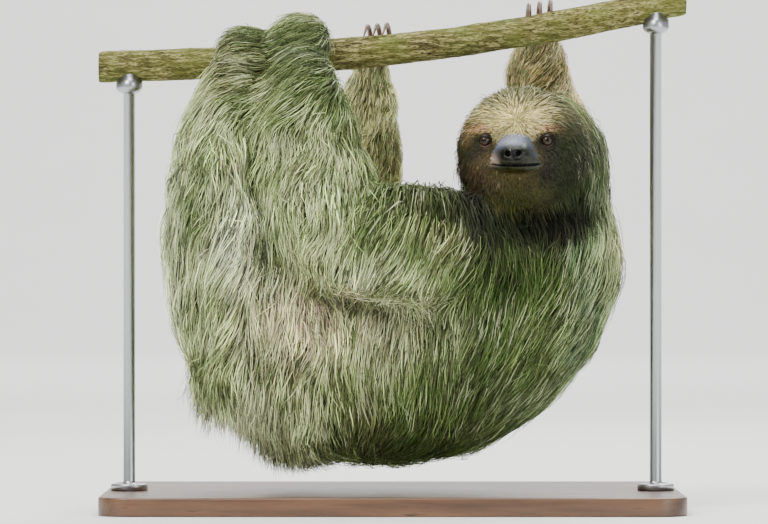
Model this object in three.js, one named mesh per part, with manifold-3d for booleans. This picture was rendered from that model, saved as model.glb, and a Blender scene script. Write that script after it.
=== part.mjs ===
// A brown-throated three-toed sloth, life size, hanging by all four feet from a short cut branch
// that two rods hold above a flat display base.
//
// Millimetres. +X runs along the branch from the rump to the head, +Y away from the viewer, +Z up.
// The origin is the middle of the base's underside. The animal hangs belly up, so its left side
// faces -Y, and its head is turned round to look out along -Y.
// The solids of the animal reach out to the tips of its coat.
import * as THREE from "three";
import { mergeVertices } from "three/addons/utils/BufferGeometryUtils.js";
import Module from "manifold-3d";

const wasm = await Module();
wasm.setup();

// ---------------------------------------------------------------- driving sizes
const gap = 0.3; // left between pieces that meet
const perchBack = -20; // the branch's middle line stands this far in front of the base's
const base = { length: 436, depth: 300, thick: 14, corner: 24, bevel: 1.5 };
const rod = { radius: 4.5, foot: 14, footHeight: 5, cup: 10, cupHeight: 16, apart: 400 };
const branchLength = 446;
const trunkHalf = 84; // half the width of the body from side to side
const head = { x: 98, y: -50, z: 273, turn: -10 }; // its middle, and degrees from facing the viewer
const skull = { side: 49, up: 47, back: 46, front: 40 }; // half sizes with the coat on
const eye = { radius: 5.6, side: 23.3, up: 5, forward: 33.2 };
const muzzle = { side: 20, up: 16.5, forward: 20, high: -5 };
const claw = { around: 6, rings: 7, flat: 0.75, tip: 0.25 };
const handClaw = { radius: 3.5, apart: 8.2 };
const footClaw = { radius: 3, apart: 7.2 };

// ---------------------------------------------------------------- materials
const finish = (color, roughness, metalness = 0) => new THREE.MeshStandardMaterial({ color, roughness, metalness });
const materials = {
  coat: finish(0x6e7052, 0.85),
  limbCoat: finish(0x7b6f55, 0.85),
  faceCoat: finish(0xa8946a, 0.8),
  bareSkin: finish(0x3a3634, 0.5),
  eye: finish(0x2a1810, 0.1),
  claw: finish(0x4a3b2c, 0.4),
  bark: finish(0x84784f, 0.9),
  wood: finish(0x4a3222, 0.5),
  steel: finish(0x9a9c9e, 0.35, 0.9),
};

// ---------------------------------------------------------------- geometry to solid and back
function solid(geometry) {
  const bare = geometry.clone();
  bare.deleteAttribute("normal");
  bare.deleteAttribute("uv");
  const merged = mergeVertices(bare, 1e-3);
  const mesh = new wasm.Mesh({
    numProp: 3,
    vertProperties: new Float32Array(merged.attributes.position.array),
    triVerts: new Uint32Array(merged.index.array),
  });
  return new wasm.Manifold(mesh);
}

function geometryOf(body) {
  const { vertProperties, triVerts } = body.getMesh();
  const geometry = new THREE.BufferGeometry();
  geometry.setAttribute("position", new THREE.BufferAttribute(new Float32Array(vertProperties), 3));
  geometry.setIndex(new THREE.BufferAttribute(new Uint32Array(triVerts), 1));
  geometry.computeVertexNormals();
  return geometry;
}

const largest = (body) => body.decompose().reduce((best, next) => (next.volume() > best.volume() ? next : best));

// ---------------------------------------------------------------- shapes
const station = (x, y, z, side, other) => ({ at: new THREE.Vector3(x, y, z), size: new THREE.Vector3(side, other, 0) });
const alongX = new THREE.Vector3(1, 0, 0);
const alongY = new THREE.Vector3(0, 1, 0);

// A closed round body on a smooth line through its stations: a sphere bent onto that line. A station's
// side is its half size along the side direction and its other is the half size at right angles to it.
// A higher bluntness fills out the two ends, and grow is added all round.
function alongLine(stations, side, grow, { around = 12, rings = 9, bluntness = 3 } = {}) {
  const line = new THREE.CatmullRomCurve3(stations.map((s) => s.at), false, "centripetal");
  const sizes = new THREE.CatmullRomCurve3(stations.map((s) => s.size), false, "centripetal");
  const sphere = new THREE.SphereGeometry(1, around, rings);
  const points = sphere.attributes.position;
  const p = new THREE.Vector3();
  for (let i = 0; i < points.count; i++) {
    p.fromBufferAttribute(points, i);
    const share = line.getUtoTmapping(THREE.MathUtils.clamp((1 + p.y) / 2, 0, 1));
    const size = sizes.getPoint(share);
    const tangent = line.getTangent(share);
    const sideways = side.clone().addScaledVector(tangent, -side.dot(tangent)).normalize();
    const other = sideways.clone().cross(tangent);
    const round = Math.hypot(p.x, p.z);
    const fill = round > 1e-6 ? (1 - Math.abs(p.y) ** bluntness) ** (1 / bluntness) / round : 0;
    const at = line.getPoint(share).addScaledVector(tangent, p.y * grow);
    at.addScaledVector(sideways, p.x * fill * (size.x + grow));
    at.addScaledVector(other, p.z * fill * (size.y + grow));
    points.setXYZ(i, at.x, at.y, at.z);
  }
  return solid(sphere);
}

const ellipsoid = (x, y, z, around, rings) => new THREE.SphereGeometry(1, around, rings).scale(x, y, z);

// ---------------------------------------------------------------- laying the pieces down
const sloth = new THREE.Group(); // the animal and its branch, in the branch's own vertical plane
sloth.position.y = perchBack;
const displayed = new THREE.Group();
displayed.add(sloth);

const laid = [];

// Adds a piece, less the room that everything laid before it needs. shape(grow) and room(grow) are
// solids that are larger by grow all round.
function lay(name, material, shape, room = shape) {
  const body = largest(laid.reduce((left, taken) => left.subtract(taken), shape(0)));
  const mesh = new THREE.Mesh(geometryOf(body), material);
  mesh.name = name;
  sloth.add(mesh);
  laid.push(room(gap));
}

// ---------------------------------------------------------------- branch
const branchStations = [
  station(-240, 0, 335, 11.4, 11.6),
  station(-184, 1, 337, 11.6, 11.6),
  station(-108, -1, 340, 11.9, 12),
  station(-36, 1, 346, 12, 11.8),
  station(44, 0, 354, 11.6, 11.6),
  station(82, -1, 360, 11.4, 11.5),
  station(127, 0, 367, 11.3, 11.4),
  station(180, 1, 378, 11, 11.2),
  station(240, 0, 390, 10.6, 10.8),
];
const branchLine = new THREE.CatmullRomCurve3(branchStations.map((s) => s.at), false, "centripetal");

// Sawn square at both ends.
function branch(grow) {
  const length = branchLength + 2 * grow;
  const sawn = solid(new THREE.BoxGeometry(length, 100, 200).translate(0, 0, 360));
  return alongLine(branchStations, alongY, grow, { around: 10, rings: 16, bluntness: 20 }).intersect(sawn);
}

// The branch's middle at a given x.
function branchAt(x) {
  let low = 0;
  let high = 1;
  while (high - low > 1e-6) {
    const middle = (low + high) / 2;
    if (branchLine.getPoint(middle).x < x) low = middle;
    else high = middle;
  }
  return branchLine.getPoint(low);
}

// ---------------------------------------------------------------- claws
// Degrees round the branch from its top towards +Y, with the height of the claw's middle over the
// branch's at each, from root to tip.
const overFromFront = [[26, 20], [60, 21], [98, 20], [140, 18], [180, 16.5], [216, 14.6]];
const overFromBehind = [[84, 19], [56, 22], [26, 23.5], [0, 21.5], [-22, 17], [-40, 13.6]];

// One claw that hooks round the branch, from root x to tip x.
function hook(rootX, tipX, radius, turns) {
  const stations = turns.map(([degrees, height], i) => {
    const share = i / (turns.length - 1);
    const middle = branchAt(THREE.MathUtils.lerp(rootX, tipX, share));
    const angle = THREE.MathUtils.degToRad(degrees);
    const thick = radius * THREE.MathUtils.lerp(1, claw.tip, share ** 1.4);
    return station(
      middle.x,
      middle.y + height * Math.sin(angle),
      middle.z + height * Math.cos(angle),
      claw.flat * thick,
      thick,
    );
  });
  return (grow) => alongLine(stations, alongX, grow, { around: claw.around, rings: claw.rings, bluntness: 6 });
}

// The three claws of one hand or foot, side by side.
function layClaws(name, { radius, apart }, rootX, tipX, turns) {
  for (const [number, step] of [[1, -1], [2, 0], [3, 1]])
    lay(`${name}_claw_${number}`, materials.claw, hook(rootX + step * apart, tipX + step * apart, radius, turns));
}

// ---------------------------------------------------------------- head
const toHead = new THREE.Matrix4()
  .makeRotationZ(THREE.MathUtils.degToRad(head.turn))
  .setPosition(head.x, head.y, head.z);

// A point of the head in the world, from how far it lies sideways, up and forward of the head's middle.
const onHead = (side, up, forward) => new THREE.Vector3(side, -forward, up).applyMatrix4(toHead);

// A hill on the face, the same on both sides: 1 at its middle and falling off over its widths. A
// flatness over 1 gives it a level top and steeper sides.
function hill(side, up, atSide, atUp, wide, tall, flatness = 1) {
  const far = ((Math.abs(side) - atSide) / wide) ** 2 + ((up - atUp) / tall) ** 2;
  return Math.exp(-(far ** flatness));
}

// How far the face stands out over the plain front of the skull.
function faceRelief(side, up) {
  const snout = 12.5 * hill(side, up, 0, -5.5, 14.5, 12, 1.4);
  const chin = -3 * hill(side, up, 0, -27, 18, 8);
  const brow = 1.6 * hill(side, up, 22, 16, 13, 6);
  const socket = -2.6 * hill(side, up, eye.side, eye.up, 7.5, 6.5);
  const cheek = 3.2 * hill(side, up, 33, -16, 14, 16);
  return snout + chin + brow + socket + cheek;
}

const faceFullness = 2.7; // over 2, the front of the skull is flatter than a ball
const ringsForward = 1.35; // over 1, the rings of the head's mesh crowd towards the face
const plainFront = (side, up, grow) => {
  const far = Math.min(1, Math.hypot(side / (skull.side + grow), up / (skull.up + grow)));
  return (skull.front + grow) * (1 - far ** faceFullness) ** (1 / faceFullness);
};
const faceAt = (side, up) => plainFront(side, up, 0) + faceRelief(side, up);

function wholeHead(grow) {
  const sphere = new THREE.SphereGeometry(1, 24, 18);
  const points = sphere.attributes.position;
  const p = new THREE.Vector3();
  for (let i = 0; i < points.count; i++) {
    p.fromBufferAttribute(points, i);
    const turn = Math.PI * (Math.acos(THREE.MathUtils.clamp(p.y, -1, 1)) / Math.PI) ** ringsForward;
    const around = Math.atan2(p.z, p.x);
    const [ahead, out] = [Math.cos(turn), Math.sin(turn)];
    const power = ahead > 0 ? faceFullness : 2;
    const full = (out ** power + Math.abs(ahead) ** power) ** (-1 / power);
    const side = out * Math.cos(around) * full * (skull.side + grow);
    const up = -out * Math.sin(around) * full * (skull.up + grow);
    const front = Math.max(0, ahead) * full;
    const reach = front * (skull.front + grow) + Math.min(1, 3 * front) * faceRelief(side, up);
    const forward = ahead > 0 ? reach : ahead * full * (skull.back + grow);
    points.setXYZ(i, ...onHead(side, up, forward).toArray());
  }
  return solid(sphere);
}

// A geometry made about the origin, set at a place on the head and turned with it.
const setOnHead = (geometry, side, up, forward) => solid(geometry.translate(side, -forward, up).applyMatrix4(toHead));

// The bare skin round the nose and the lips.
function muzzleZone(grow) {
  const { side, up, forward, high } = muzzle;
  const zone = ellipsoid(side + grow, forward + grow, up + grow, 14, 10);
  return setOnHead(zone, 0, high, skull.front + 4);
}

// The slit between the lips, curving up at its ends.
function mouth() {
  const stations = [-16, -8, 0, 8, 16].map((side) => {
    const up = -13.2 + 2.2 * (side / 16) ** 2;
    const { x, y, z } = onHead(side, up, faceAt(side, up) + 0.5);
    return station(x, y, z, 1.6, 0.55);
  });
  return alongLine(stations, alongY, 0, { around: 4, rings: 6, bluntness: 3 });
}

function nostril(way) {
  const [side, up] = [4.6 * way, -4.6];
  return setOnHead(ellipsoid(2.1, 2.6, 1.4, 8, 4), side, up, faceAt(side, up));
}

function bareMuzzle() {
  const openings = [mouth(), nostril(-1), nostril(1)];
  return openings.reduce((left, opening) => left.subtract(opening), wholeHead(0).intersect(muzzleZone(0)));
}

const eyeball = (way) => (grow) => {
  const radius = eye.radius + grow;
  return setOnHead(ellipsoid(radius, radius, radius, 10, 8), way * eye.side, eye.up, eye.forward);
};

// ---------------------------------------------------------------- trunk
const trunkStations = [
  station(-112, 0, 188, 0.6 * trunkHalf, 54),
  station(-94, 0, 150, 0.86 * trunkHalf, 73),
  station(-64, 0, 124, 0.97 * trunkHalf, 80),
  station(-30, 0, 111, trunkHalf, 77),
  station(6, 0, 107, trunkHalf, 73),
  station(40, 0, 116, trunkHalf, 76),
  station(70, 0, 138, 0.97 * trunkHalf, 79),
  station(91, 0, 168, 0.92 * trunkHalf, 80),
  station(102, 0, 204, 0.86 * trunkHalf, 80),
  station(109, -3, 236, 0.76 * trunkHalf, 71),
  station(111, -7, 272, 0.6 * trunkHalf, 56),
];

// The bent back and sides, filled out by the belly in the hollow of the bend.
function trunk(grow) {
  const back = alongLine(trunkStations, alongY, grow, { around: 18, rings: 16, bluntness: 3.6 });
  const belly = ellipsoid(84 + grow, 72 + grow, 56 + grow, 12, 8).translate(0, 0, 154);
  return back.add(solid(belly));
}

// ---------------------------------------------------------------- limbs
// Each stretch of each limb, with the direction in which its first half size is measured.
const stretches = {
  neck: [alongY, [108, -8, 232, 54, 62], [112, -12, 262, 52, 54], [110, -18, 288, 45, 47], [105, -26, 311, 34, 36]],
  tail: [alongY, [-108, 2, 122, 24, 24], [-132, 4, 102, 21, 18], [-149, 5, 88, 16, 13]],

  left_upper_arm: [alongY, [90, -44, 188, 42, 50], [48, -74, 198, 38, 48], [4, -86, 203, 37, 46], [-42, -88, 208, 37, 46], [-86, -86, 212, 34, 40]],
  left_forearm: [
    alongX,
    [-48, -88, 190, 44, 36],
    [-56, -86, 240, 46, 37],
    [-59, -80, 266, 43, 34],
    [-63, -72, 290, 39, 31],
    [-66, -57, 318, 33, 28],
    [-66, -44, 336, 30, 25],
    [-67, -36, 352, 27, 20],
  ],
  left_hand: [alongX, [-66, -40, 334, 27, 20], [-68, -27, 356, 24, 15], [-70, -5, 365, 22, 13], [-72, 16, 358, 17, 11]],

  left_thigh: [alongY, [-84, -34, 84, 44, 56], [-96, -48, 128, 48, 64], [-110, -60, 166, 46, 60], [-124, -70, 204, 42, 51], [-132, -78, 262, 38, 42]],
  left_shin: [
    alongX,
    [-131, -79, 218, 40, 38],
    [-134, -73, 260, 35, 34],
    [-131, -65, 282, 30, 29],
    [-123, -50, 314, 27, 26],
    [-116, -38, 342, 25, 20],
  ],
  left_foot: [alongX, [-116, -40, 328, 25, 19], [-112, -28, 348, 22, 14], [-109, -6, 356, 20, 12], [-107, 14, 350, 16, 10]],

  right_upper_arm: [alongY, [84, 40, 190, 42, 48], [108, 86, 222, 40, 41], [129, 128, 252, 36, 37]],
  right_forearm: [
    alongX,
    [130, 128, 250, 36, 36],
    [126, 106, 290, 32, 31],
    [114, 70, 324, 27, 26],
    [112, 46, 344, 28, 21],
    [112, 32, 363, 20, 15],
  ],
  right_hand: [alongX, [112, 33, 352, 19, 15], [112, 28, 364, 17, 10], [112, 21, 371, 14, 6]],

  right_thigh: [alongY, [-84, 40, 142, 46, 52], [-50, 66, 184, 42, 41], [-18, 87, 228, 33, 31]],
  right_shin: [
    alongX,
    [-16, 88, 226, 31, 30],
    [-19, 79, 260, 30, 28],
    [-20, 66, 290, 27, 25],
    [-19, 46, 318, 23, 20],
    [-18, 31, 338, 16, 15],
  ],
  right_foot: [alongX, [-18, 31, 332, 16, 14], [-16, 26, 345, 15, 10], [-15, 20, 353, 12, 6]],
};

function layStretch(name, material) {
  const [side, ...rows] = stretches[name];
  const stations = rows.map((row) => station(...row));
  lay(name, material, (grow) => alongLine(stations, side, grow));
}

// ---------------------------------------------------------------- stand
// A flat plate with rounded corners and softened edges.
function plate({ length, depth, thick, corner, bevel }) {
  const [x, y, r] = [length / 2 - bevel, depth / 2 - bevel, corner];
  const outline = new THREE.Shape();
  outline.absarc(x - r, y - r, r, 0, Math.PI / 2);
  outline.absarc(r - x, y - r, r, Math.PI / 2, Math.PI);
  outline.absarc(r - x, r - y, r, Math.PI, 1.5 * Math.PI);
  outline.absarc(x - r, r - y, r, 1.5 * Math.PI, 2 * Math.PI);
  const options = {
    depth: thick - 2 * bevel,
    bevelThickness: bevel,
    bevelSize: bevel,
    bevelSegments: 1,
    curveSegments: 3,
  };
  return new THREE.ExtrudeGeometry(outline, options).translate(0, 0, bevel);
}

// A turned rod with a broad foot on the base and a cup that the branch lies in.
function uprightRod(x) {
  const middle = branchAt(x).z;
  const { radius, foot, footHeight, cup, cupHeight } = rod;
  const profile = [
    [0, base.thick + gap],
    [foot, base.thick + gap],
    [foot, base.thick + footHeight - 1.5],
    [foot - 1.5, base.thick + footHeight],
    [radius, base.thick + footHeight],
    [radius, middle - cupHeight - 5],
    [cup, middle - cupHeight],
    [cup, middle - 3],
    [0, middle - 3],
  ].map(([r, z]) => new THREE.Vector2(r, z));
  return () => solid(new THREE.LatheGeometry(profile, 10).rotateX(Math.PI / 2).translate(x, 0, 0));
}

// ---------------------------------------------------------------- the whole
lay("branch", materials.bark, branch);
layClaws("left_hand", handClaw, -72, -72, overFromFront);
layClaws("left_foot", footClaw, -107, -106, overFromFront);
layClaws("right_hand", handClaw, 112, 112, overFromBehind);
layClaws("right_foot", footClaw, -8, -15, overFromBehind);

lay("eye_left", materials.eye, eyeball(1));
lay("eye_right", materials.eye, eyeball(-1));
lay("muzzle", materials.bareSkin, bareMuzzle, muzzleZone);
lay("head", materials.faceCoat, wholeHead);
lay("trunk", materials.coat, trunk);
layStretch("neck", materials.coat);
layStretch("tail", materials.coat);
for (const limb of ["left_upper_arm", "left_thigh", "right_upper_arm", "right_thigh"]) layStretch(limb, materials.coat);
for (const limb of ["left_forearm", "left_shin", "right_forearm", "right_shin"]) layStretch(limb, materials.coat);
for (const end of ["left_hand", "left_foot", "right_hand", "right_foot"]) layStretch(end, materials.limbCoat);

lay("stand_rod_left", materials.steel, uprightRod(-rod.apart / 2));
lay("stand_rod_right", materials.steel, uprightRod(rod.apart / 2));
const stand = new THREE.Mesh(plate(base), materials.wood);
stand.name = "stand_base";
displayed.add(stand);

export default displayed;
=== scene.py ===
"""A life-size three-toed sloth hanging by its claws from a cut branch on a display stand.

One skin covers the head, trunk and limbs.  Its coat is solid locks of hair that follow the lie of
the fur.  Eyes, claws, branch and stand are pieces of their own.  Lengths are metres, except where a
comment says millimetres.  Side, up and forward are measured on the head, always in millimetres.
"""

import itertools
import math
from functools import lru_cache

import bmesh
import bpy
import numpy as np
import openvdb
from bpy.props import FloatProperty, FloatVectorProperty, IntProperty, PointerProperty
from mathutils.bvhtree import BVHTree
from mathutils.kdtree import KDTree
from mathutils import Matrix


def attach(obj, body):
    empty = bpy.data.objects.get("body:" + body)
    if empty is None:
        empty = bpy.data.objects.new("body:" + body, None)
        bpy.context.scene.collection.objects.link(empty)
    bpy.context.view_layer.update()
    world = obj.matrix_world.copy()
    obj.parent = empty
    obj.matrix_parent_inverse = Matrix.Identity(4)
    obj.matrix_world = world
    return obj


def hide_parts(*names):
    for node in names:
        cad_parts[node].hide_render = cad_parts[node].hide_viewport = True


bl_info = {
    "name": "Hanging Sloth",
    "version": (1, 0, 0),
    "blender": (4, 5, 0),
    "location": "View3D > Sidebar > Sloth",
    "description": "Builds a furred three-toed sloth on its branch and display stand",
    "category": "Add Mesh",
}

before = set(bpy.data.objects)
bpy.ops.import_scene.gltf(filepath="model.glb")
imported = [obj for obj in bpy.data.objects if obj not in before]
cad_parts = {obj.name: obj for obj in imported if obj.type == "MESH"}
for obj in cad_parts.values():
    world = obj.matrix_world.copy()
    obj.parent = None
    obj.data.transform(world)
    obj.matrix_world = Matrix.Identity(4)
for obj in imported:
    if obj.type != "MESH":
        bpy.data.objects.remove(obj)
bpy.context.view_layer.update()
MM = 0.001


# ---------------------------------------------------------------- numbers and vectors
def smooth(low, high, value):
    """0 below low, 1 above high and a smooth rise between them."""
    share = np.clip((value - low) / (high - low), 0, 1)
    return share * share * (3 - 2 * share)


def blend(a, b, share):
    """A value this share of the way from a to b."""
    return a + (b - a) * share


def unit(vectors):
    """The vectors, each made one long."""
    return vectors / np.maximum(np.linalg.norm(vectors, axis=-1, keepdims=True), 1e-9)


def dot(a, b):
    """The dot products of matching vectors, kept as a column."""
    return np.sum(a * b, axis=-1, keepdims=True)


def linear(red, green, blue):
    """A display colour of 0 to 255 as linear light."""
    return np.array(
        [((c / 255 + 0.055) / 1.055) ** 2.4 if c > 10 else c / 3295 for c in (red, green, blue)]
    )


def read_lattice(values, cell, part):
    """Values between lattice points: the eight corners of each cell, weighed by nearness."""
    total = 0
    for corner in itertools.product((0, 1), repeat=3):
        weight = np.prod(np.where(corner, part, 1 - part), axis=1)
        i, j, k = ((cell + corner) % values.shape[:3]).T
        total = total + weight.reshape(-1, *[1] * (values.ndim - 3)) * values[i, j, k]
    return total


class Field:
    """Values on an even lattice in space, read anywhere between its points."""

    def __init__(self, corner, pitch, values):
        self.corner, self.pitch, self.values = corner, pitch, values

    def at(self, points):
        """The values at some places, those of the border outside the lattice."""
        place = (points - self.corner) / self.pitch
        place = np.clip(place, 0, np.array(self.values.shape[:3]) - 1.001)
        cell = place.astype(int)
        return read_lattice(self.values, cell, place - cell)

    def points(self):
        """The places of all points of the lattice."""
        lattice = np.indices(self.values.shape[:3]).reshape(3, -1).T
        return self.corner + lattice * self.pitch


NOISE_PERIOD = 32


class Noise:
    """Smooth random values from -1 to 1 that vary over one unit and repeat after a period."""

    def __init__(self, seed, channels=1):
        size = (NOISE_PERIOD, NOISE_PERIOD, NOISE_PERIOD, channels)
        self.values = np.random.default_rng(seed).uniform(-1, 1, size)

    def at(self, points):
        """One row of values for each place."""
        cell = np.floor(points).astype(int)
        part = points - cell
        return read_lattice(self.values, cell, part * part * (3 - 2 * part))


def soften(values, times):
    """The values of a lattice, spread over their neighbours."""
    for _ in range(times):
        for axis in range(3):
            last = values.shape[axis] - 1
            before = np.concatenate([values.take([0], axis), values.take(range(last), axis)], axis)
            after = np.concatenate(
                [values.take(range(1, last + 1), axis), values.take([-1], axis)], axis
            )
            values = (before + 2 * values + after) / 4
    return values


# ---------------------------------------------------------------- meshes
def mesh_object(name, points, faces, finish):
    """A smooth shaded object from points and a list of face arrays, each array holding faces of one
    size."""
    mesh = bpy.data.meshes.new(name)
    mesh.vertices.add(len(points))
    mesh.vertices.foreach_set("co", np.asarray(points, np.float32).ravel())
    corners = np.concatenate([group.ravel() for group in faces])
    sizes = np.concatenate([np.full(len(group), group.shape[1]) for group in faces])
    mesh.loops.add(len(corners))
    mesh.loops.foreach_set("vertex_index", corners.astype(np.int32))
    mesh.polygons.add(len(sizes))
    mesh.polygons.foreach_set("loop_start", (np.cumsum(sizes) - sizes).astype(np.int32))
    mesh.polygons.foreach_set("use_smooth", np.ones(len(sizes), bool))
    mesh.update(calc_edges=True)
    mesh.materials.append(finish)
    piece = bpy.data.objects.new(name, mesh)
    bpy.context.scene.collection.objects.link(piece)
    return piece


def point_array(mesh, key="co"):
    """The places or the normals of a mesh's points."""
    values = np.empty(3 * len(mesh.vertices), np.float32)
    mesh.vertices.foreach_get(key, values)
    return values.reshape(-1, 3).astype(float)


def corner_array(mesh, key="vertices"):
    """The numbers of the points, or of the loops, at the corners of a mesh's triangles."""
    mesh.calc_loop_triangles()
    numbers = np.empty(3 * len(mesh.loop_triangles), np.int32)
    mesh.loop_triangles.foreach_get(key, numbers)
    return numbers.reshape(-1, 3)


def give(piece, name, values):
    """Stores one value, vector or colour for each vertex."""
    kinds = {1: ("FLOAT", "value"), 3: ("FLOAT_VECTOR", "vector"), 4: ("FLOAT_COLOR", "color")}
    kind, key = kinds[values.shape[1] if values.ndim > 1 else 1]
    layer = piece.data.attributes.new(name, kind, "POINT")
    layer.data.foreach_set(key, np.asarray(values, np.float32).ravel())


def give_colour(piece, colours):
    """Stores the colour of each vertex as the attribute paint."""
    give(piece, "paint", np.concatenate([colours, np.ones((len(colours), 1))], axis=1))


def place(piece, slot, *nodes):
    """Puts a finished piece on the model in the place of its CAD nodes; the slot is not used."""
    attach(piece, "root")
    if nodes:
        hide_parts(*nodes)


def loft(name, rings, finish):
    """A closed body through rings of points, which run anticlockwise seen from its far end."""
    rows, around = rings.shape[:2]
    ends = np.stack([rings[0].mean(0), rings[-1].mean(0)])
    index = np.arange(rows * around).reshape(rows, around)
    beside = np.roll(index, -1, axis=1)
    sides = np.stack([index[:-1], beside[:-1], beside[1:], index[1:]], axis=-1).reshape(-1, 4)
    first = np.stack([beside[0], index[0], np.full(around, rows * around)], axis=-1)
    last = np.stack([index[-1], beside[-1], np.full(around, rows * around + 1)], axis=-1)
    points = np.concatenate([rings.reshape(-1, 3), ends])
    return mesh_object(name, points, [sides, np.concatenate([first, last])], finish)


def through(stations, count):
    """A smooth line of count points through stations of any width."""
    stations = np.array(stations, float)
    apart = np.sqrt(np.linalg.norm(np.diff(stations[:, :3], axis=0), axis=1))
    knots = np.concatenate([[0], np.cumsum(apart)])
    slopes = np.diff(stations, axis=0) / apart[:, None]
    before, after = apart[:-1, None], apart[1:, None]
    inner = (slopes[:-1] * after + slopes[1:] * before) / (after + before)
    tangents = np.concatenate([slopes[:1], inner, slopes[-1:]])
    at = np.linspace(0, knots[-1], count)
    k = np.clip(np.searchsorted(knots, at, side="right") - 1, 0, len(apart) - 1)
    wide = apart[k][:, None]
    t = (at - knots[k])[:, None] / wide
    start = (1 + 2 * t) * (1 - t) ** 2 * stations[k] + t * (1 - t) ** 2 * wide * tangents[k]
    finish = t * t * (3 - 2 * t) * stations[k + 1] + t * t * (t - 1) * wide * tangents[k + 1]
    return start + finish


# ---------------------------------------------------------------- shader nodes
class Tree:
    """Short ways to add nodes to a material or a node group."""

    def __init__(self, tree):
        self.tree = tree

    def add(self, kind, inputs=None, **settings):
        """Adds a node, sets its settings and feeds its inputs."""
        node = self.tree.nodes.new(kind)
        for name, value in settings.items():
            setattr(node, name, value)
        for socket, value in (inputs or {}).items():
            self.feed(node.inputs[socket], value)
        return node

    def feed(self, socket, value):
        """Links a socket to another one or sets it to a value."""
        if isinstance(value, bpy.types.NodeSocket):
            self.tree.links.new(value, socket)
        else:
            socket.default_value = value

    def math(self, operation, a, b=0.0):
        """The result of one sum."""
        return self.add("ShaderNodeMath", {0: a, 1: b}, operation=operation).outputs[0]

    def mix(self, share, a, b):
        """A colour this share of the way from a to b."""
        inputs = {"Factor": share, 6: a, 7: b}
        return self.add("ShaderNodeMix", inputs, data_type="RGBA").outputs[2]

    def scaled(self, colour, factor):
        """A colour times a number."""
        inputs = {0: colour, "Scale": factor}
        return self.add("ShaderNodeVectorMath", inputs, operation="SCALE").outputs[0]

    def noise(self, vector, scale, detail=3.0, rough=0.5):
        """Cloudy values from 0 to 1."""
        inputs = {"Vector": vector, "Scale": scale, "Detail": detail, "Roughness": rough}
        return self.add("ShaderNodeTexNoise", inputs).outputs["Fac"]

    def spread(self, value, low, high, to_low=0.0, to_high=1.0):
        """A value moved from one range to another."""
        names = ("Value", "From Min", "From Max", "To Min", "To Max")
        inputs = dict(zip(names, (value, low, high, to_low, to_high)))
        return self.add("ShaderNodeMapRange", inputs).outputs[0]

    def attribute(self, name, output="Color"):
        """A value stored on the points."""
        return self.add("ShaderNodeAttribute", attribute_name=name).outputs[output]

    def parts(self, vector):
        """The three parts of a vector."""
        return self.add("ShaderNodeSeparateXYZ", {0: vector}).outputs

    def here(self):
        """The place on the object."""
        return self.add("ShaderNodeTexCoord").outputs["Object"]

    def bump(self, height, strength, distance):
        """A normal tilted by a height."""
        inputs = {"Height": height, "Strength": strength, "Distance": distance}
        return self.add("ShaderNodeBump", inputs).outputs[0]

    def group(self, tree, inputs):
        """The outputs of a node group."""
        return self.add("ShaderNodeGroup", inputs, node_tree=tree).outputs

    def mottled(self, colour, blotch, vector, scale, amount):
        """The outputs of the group that lays blotches over a colour."""
        names = ("Colour", "Blotch Colour", "Vector", "Scale", "Amount")
        return self.group(mottle(), dict(zip(names, (colour, blotch, vector, scale, amount))))


def node_group(name, inputs, outputs):
    """An empty node group with sockets of the given kinds: its helper, inputs and outputs."""
    tree = bpy.data.node_groups.new(name, "ShaderNodeTree")
    for in_out, sockets in (("INPUT", inputs), ("OUTPUT", outputs)):
        for socket, kind in sockets.items():
            tree.interface.new_socket(name=socket, in_out=in_out, socket_type="NodeSocket" + kind)
    given = tree.nodes.new("NodeGroupInput").outputs
    return Tree(tree), given, tree.nodes.new("NodeGroupOutput").inputs


@lru_cache
def strand_colour():
    """Colour along a strand of hair: dark at the root, bleached at the tip, no two alike."""
    nodes, given, out = node_group(
        "Strand Colour",
        {"Colour": "Color", "Tip Colour": "Color", "Along": "Float", "Tint": "Float", "Pale": "Float"},
        {"Colour": "Color"},
    )
    along = nodes.math("POWER", given["Along"], 0.7)
    by_place = nodes.spread(along, 0, 1, 0.2, 1.25)
    by_strand = nodes.spread(given["Tint"], 0, 1, 0.4, 1.35)
    shaded = nodes.scaled(given["Colour"], nodes.math("MULTIPLY", by_place, by_strand))
    tip = nodes.mix(0.75, nodes.scaled(given["Colour"], 2.6), given["Tip Colour"])
    bleached = nodes.math("MULTIPLY", given["Pale"], nodes.spread(given["Along"], 0.1, 0.75))
    nodes.feed(out["Colour"], nodes.mix(bleached, shaded, tip))
    return nodes.tree


@lru_cache
def mottle():
    """Blotches of a second colour over a first, as on skin, bark, horn and wood."""
    nodes, given, out = node_group(
        "Mottle",
        {
            "Colour": "Color",
            "Blotch Colour": "Color",
            "Vector": "Vector",
            "Scale": "Float",
            "Amount": "Float",
        },
        {"Colour": "Color", "Mask": "Float"},
    )
    mask = nodes.spread(nodes.noise(given["Vector"], given["Scale"], 4), 0.4, 0.65)
    share = nodes.math("MULTIPLY", mask, given["Amount"])
    nodes.feed(out["Colour"], nodes.mix(share, given["Colour"], given["Blotch Colour"]))
    nodes.feed(out["Mask"], mask)
    return nodes.tree


@lru_cache
def grain():
    """Streaks that run along X, as in wood, bark and brushed metal."""
    nodes, given, out = node_group(
        "Grain",
        {"Vector": "Vector", "Scale": "Float", "Stretch": "Float"},
        {"Streak": "Float", "Fine": "Float"},
    )
    x, y, z = nodes.parts(given["Vector"])
    inputs = {0: nodes.math("DIVIDE", x, given["Stretch"]), 1: y, 2: z}
    drawn = nodes.add("ShaderNodeCombineXYZ", inputs).outputs[0]
    nodes.feed(out["Streak"], nodes.noise(drawn, given["Scale"], 5, 0.6))
    nodes.feed(out["Fine"], nodes.noise(drawn, nodes.math("MULTIPLY", given["Scale"], 4.0), 3, 0.6))
    return nodes.tree


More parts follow.
